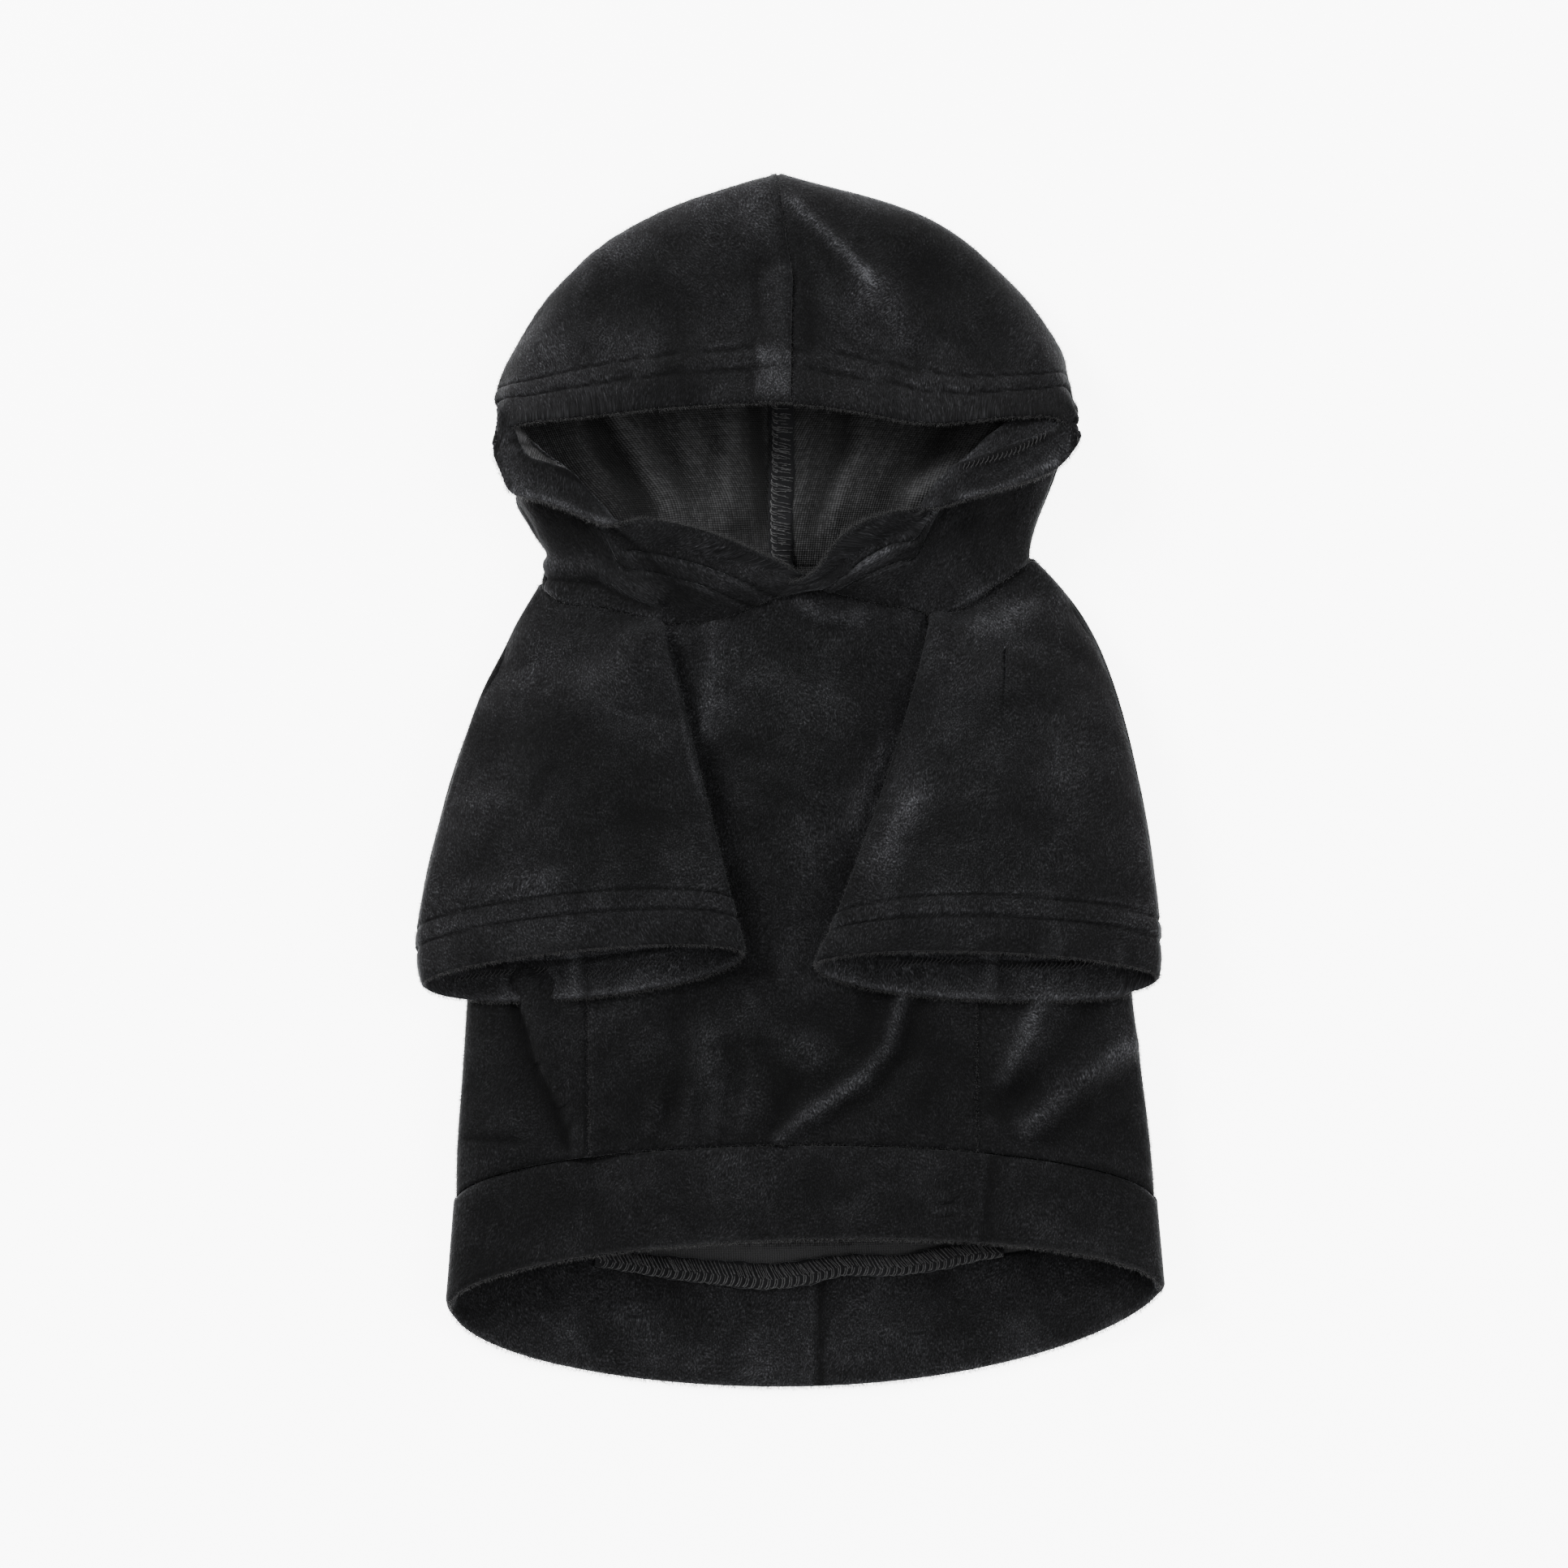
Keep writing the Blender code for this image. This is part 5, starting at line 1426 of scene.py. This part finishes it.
def make_overlocks():
    overlock(
        "hood_overlock_bar", "hood_overlock", ((963, 486), (964, 560), (962, 640), (964, 712)),
        (7.0, 7.4, 7.4, 6.6), 0.0011, 0.0032, OVERLOCK_STITCH, 0.0005, (-0.35, 0.92),
        0.22, 0.8 * THREAD, 0.36, 5,
    )
    overlock(
        "waist_overlock_bar", "waist_overlock",
        ((733, 1551), (816, 1563), (893, 1571), (947, 1575), (994, 1570), (1033, 1562), (1110, 1561),
         (1164, 1552), (1195, 1546), (1238, 1545)),
        (5.4, 6.6, 7.6, 8.0, 7.4, 6.6, 6.2, 6.6, 6.2, 2.6), 0.0015, 0.0036, 0.8 * OVERLOCK_STITCH, -0.0022,
        (-0.15, 0.98), 0.38, 0.75 * THREAD, 0.16, 6,
    )


def make_floor():
    bpy.ops.mesh.primitive_plane_add(size=FLOOR_SIZE)
    floor = bpy.context.object
    floor.name = "floor"
    material = bpy.data.materials.new("white_floor")
    _, shader = shader_of(material)
    shader.inputs["Base Color"].default_value = (0.92, 0.92, 0.92, 1)
    shader.inputs["Roughness"].default_value = 0.9
    shader.inputs["Specular IOR Level"].default_value = 0.1
    shader.inputs["Emission Color"].default_value = (1, 1, 1, 1)
    shader.inputs["Emission Strength"].default_value = FLOOR_GLOW
    floor.data.materials.append(material)


def make_lights():
    world = bpy.data.worlds.new("studio")
    bpy.context.scene.world = world
    world.use_nodes = True
    world.node_tree.nodes["Background"].inputs["Color"].default_value = (1.0, 1.0, 1.0, 1)
    world.node_tree.nodes["Background"].inputs["Strength"].default_value = WORLD_LIGHT
    for name, place, size, power in (
        ("softbox_left", (-1.5, 1.3, 1.3), 0.9, 120),
        ("softbox_right", (1.5, 0.2, 1.5), 1.2, 40),
    ):
        bpy.ops.object.light_add(type="AREA", location=place)
        light = bpy.context.object
        light.name = name
        light.data.size = size
        light.data.energy = power
        light.rotation_mode = "QUATERNION"
        direction = -light.location
        light.rotation_quaternion = direction.to_track_quat("-Z", "Y")


def make_camera():
    """Straight above, framed as the photograph is."""
    height = 3.0
    middle_height = 0.015
    camera = bpy.data.cameras.new("camera")
    camera.sensor_width = 36.0
    camera.lens = 36.0 * (height - middle_height) / (PHOTO_PIXELS * PIXEL)
    camera.clip_end = 20.0
    holder = bpy.data.objects.new("camera", camera)
    bpy.context.collection.objects.link(holder)
    middle = spot((PHOTO_PIXELS / 2, PHOTO_PIXELS / 2))
    holder.location = (middle[0], middle[1], height)
    bpy.context.scene.camera = holder


make_floor()
make_chest()
make_back()
make_band()
for sleeve in SLEEVE_TABLE:
    make_sleeve(*sleeve)
make_hood_half("hood_left", -1, HOOD_LEFT_TABLE)
make_hood_half("hood_right", 1, HOOD_RIGHT_TABLE)
make_overlocks()
make_lights()
make_camera()
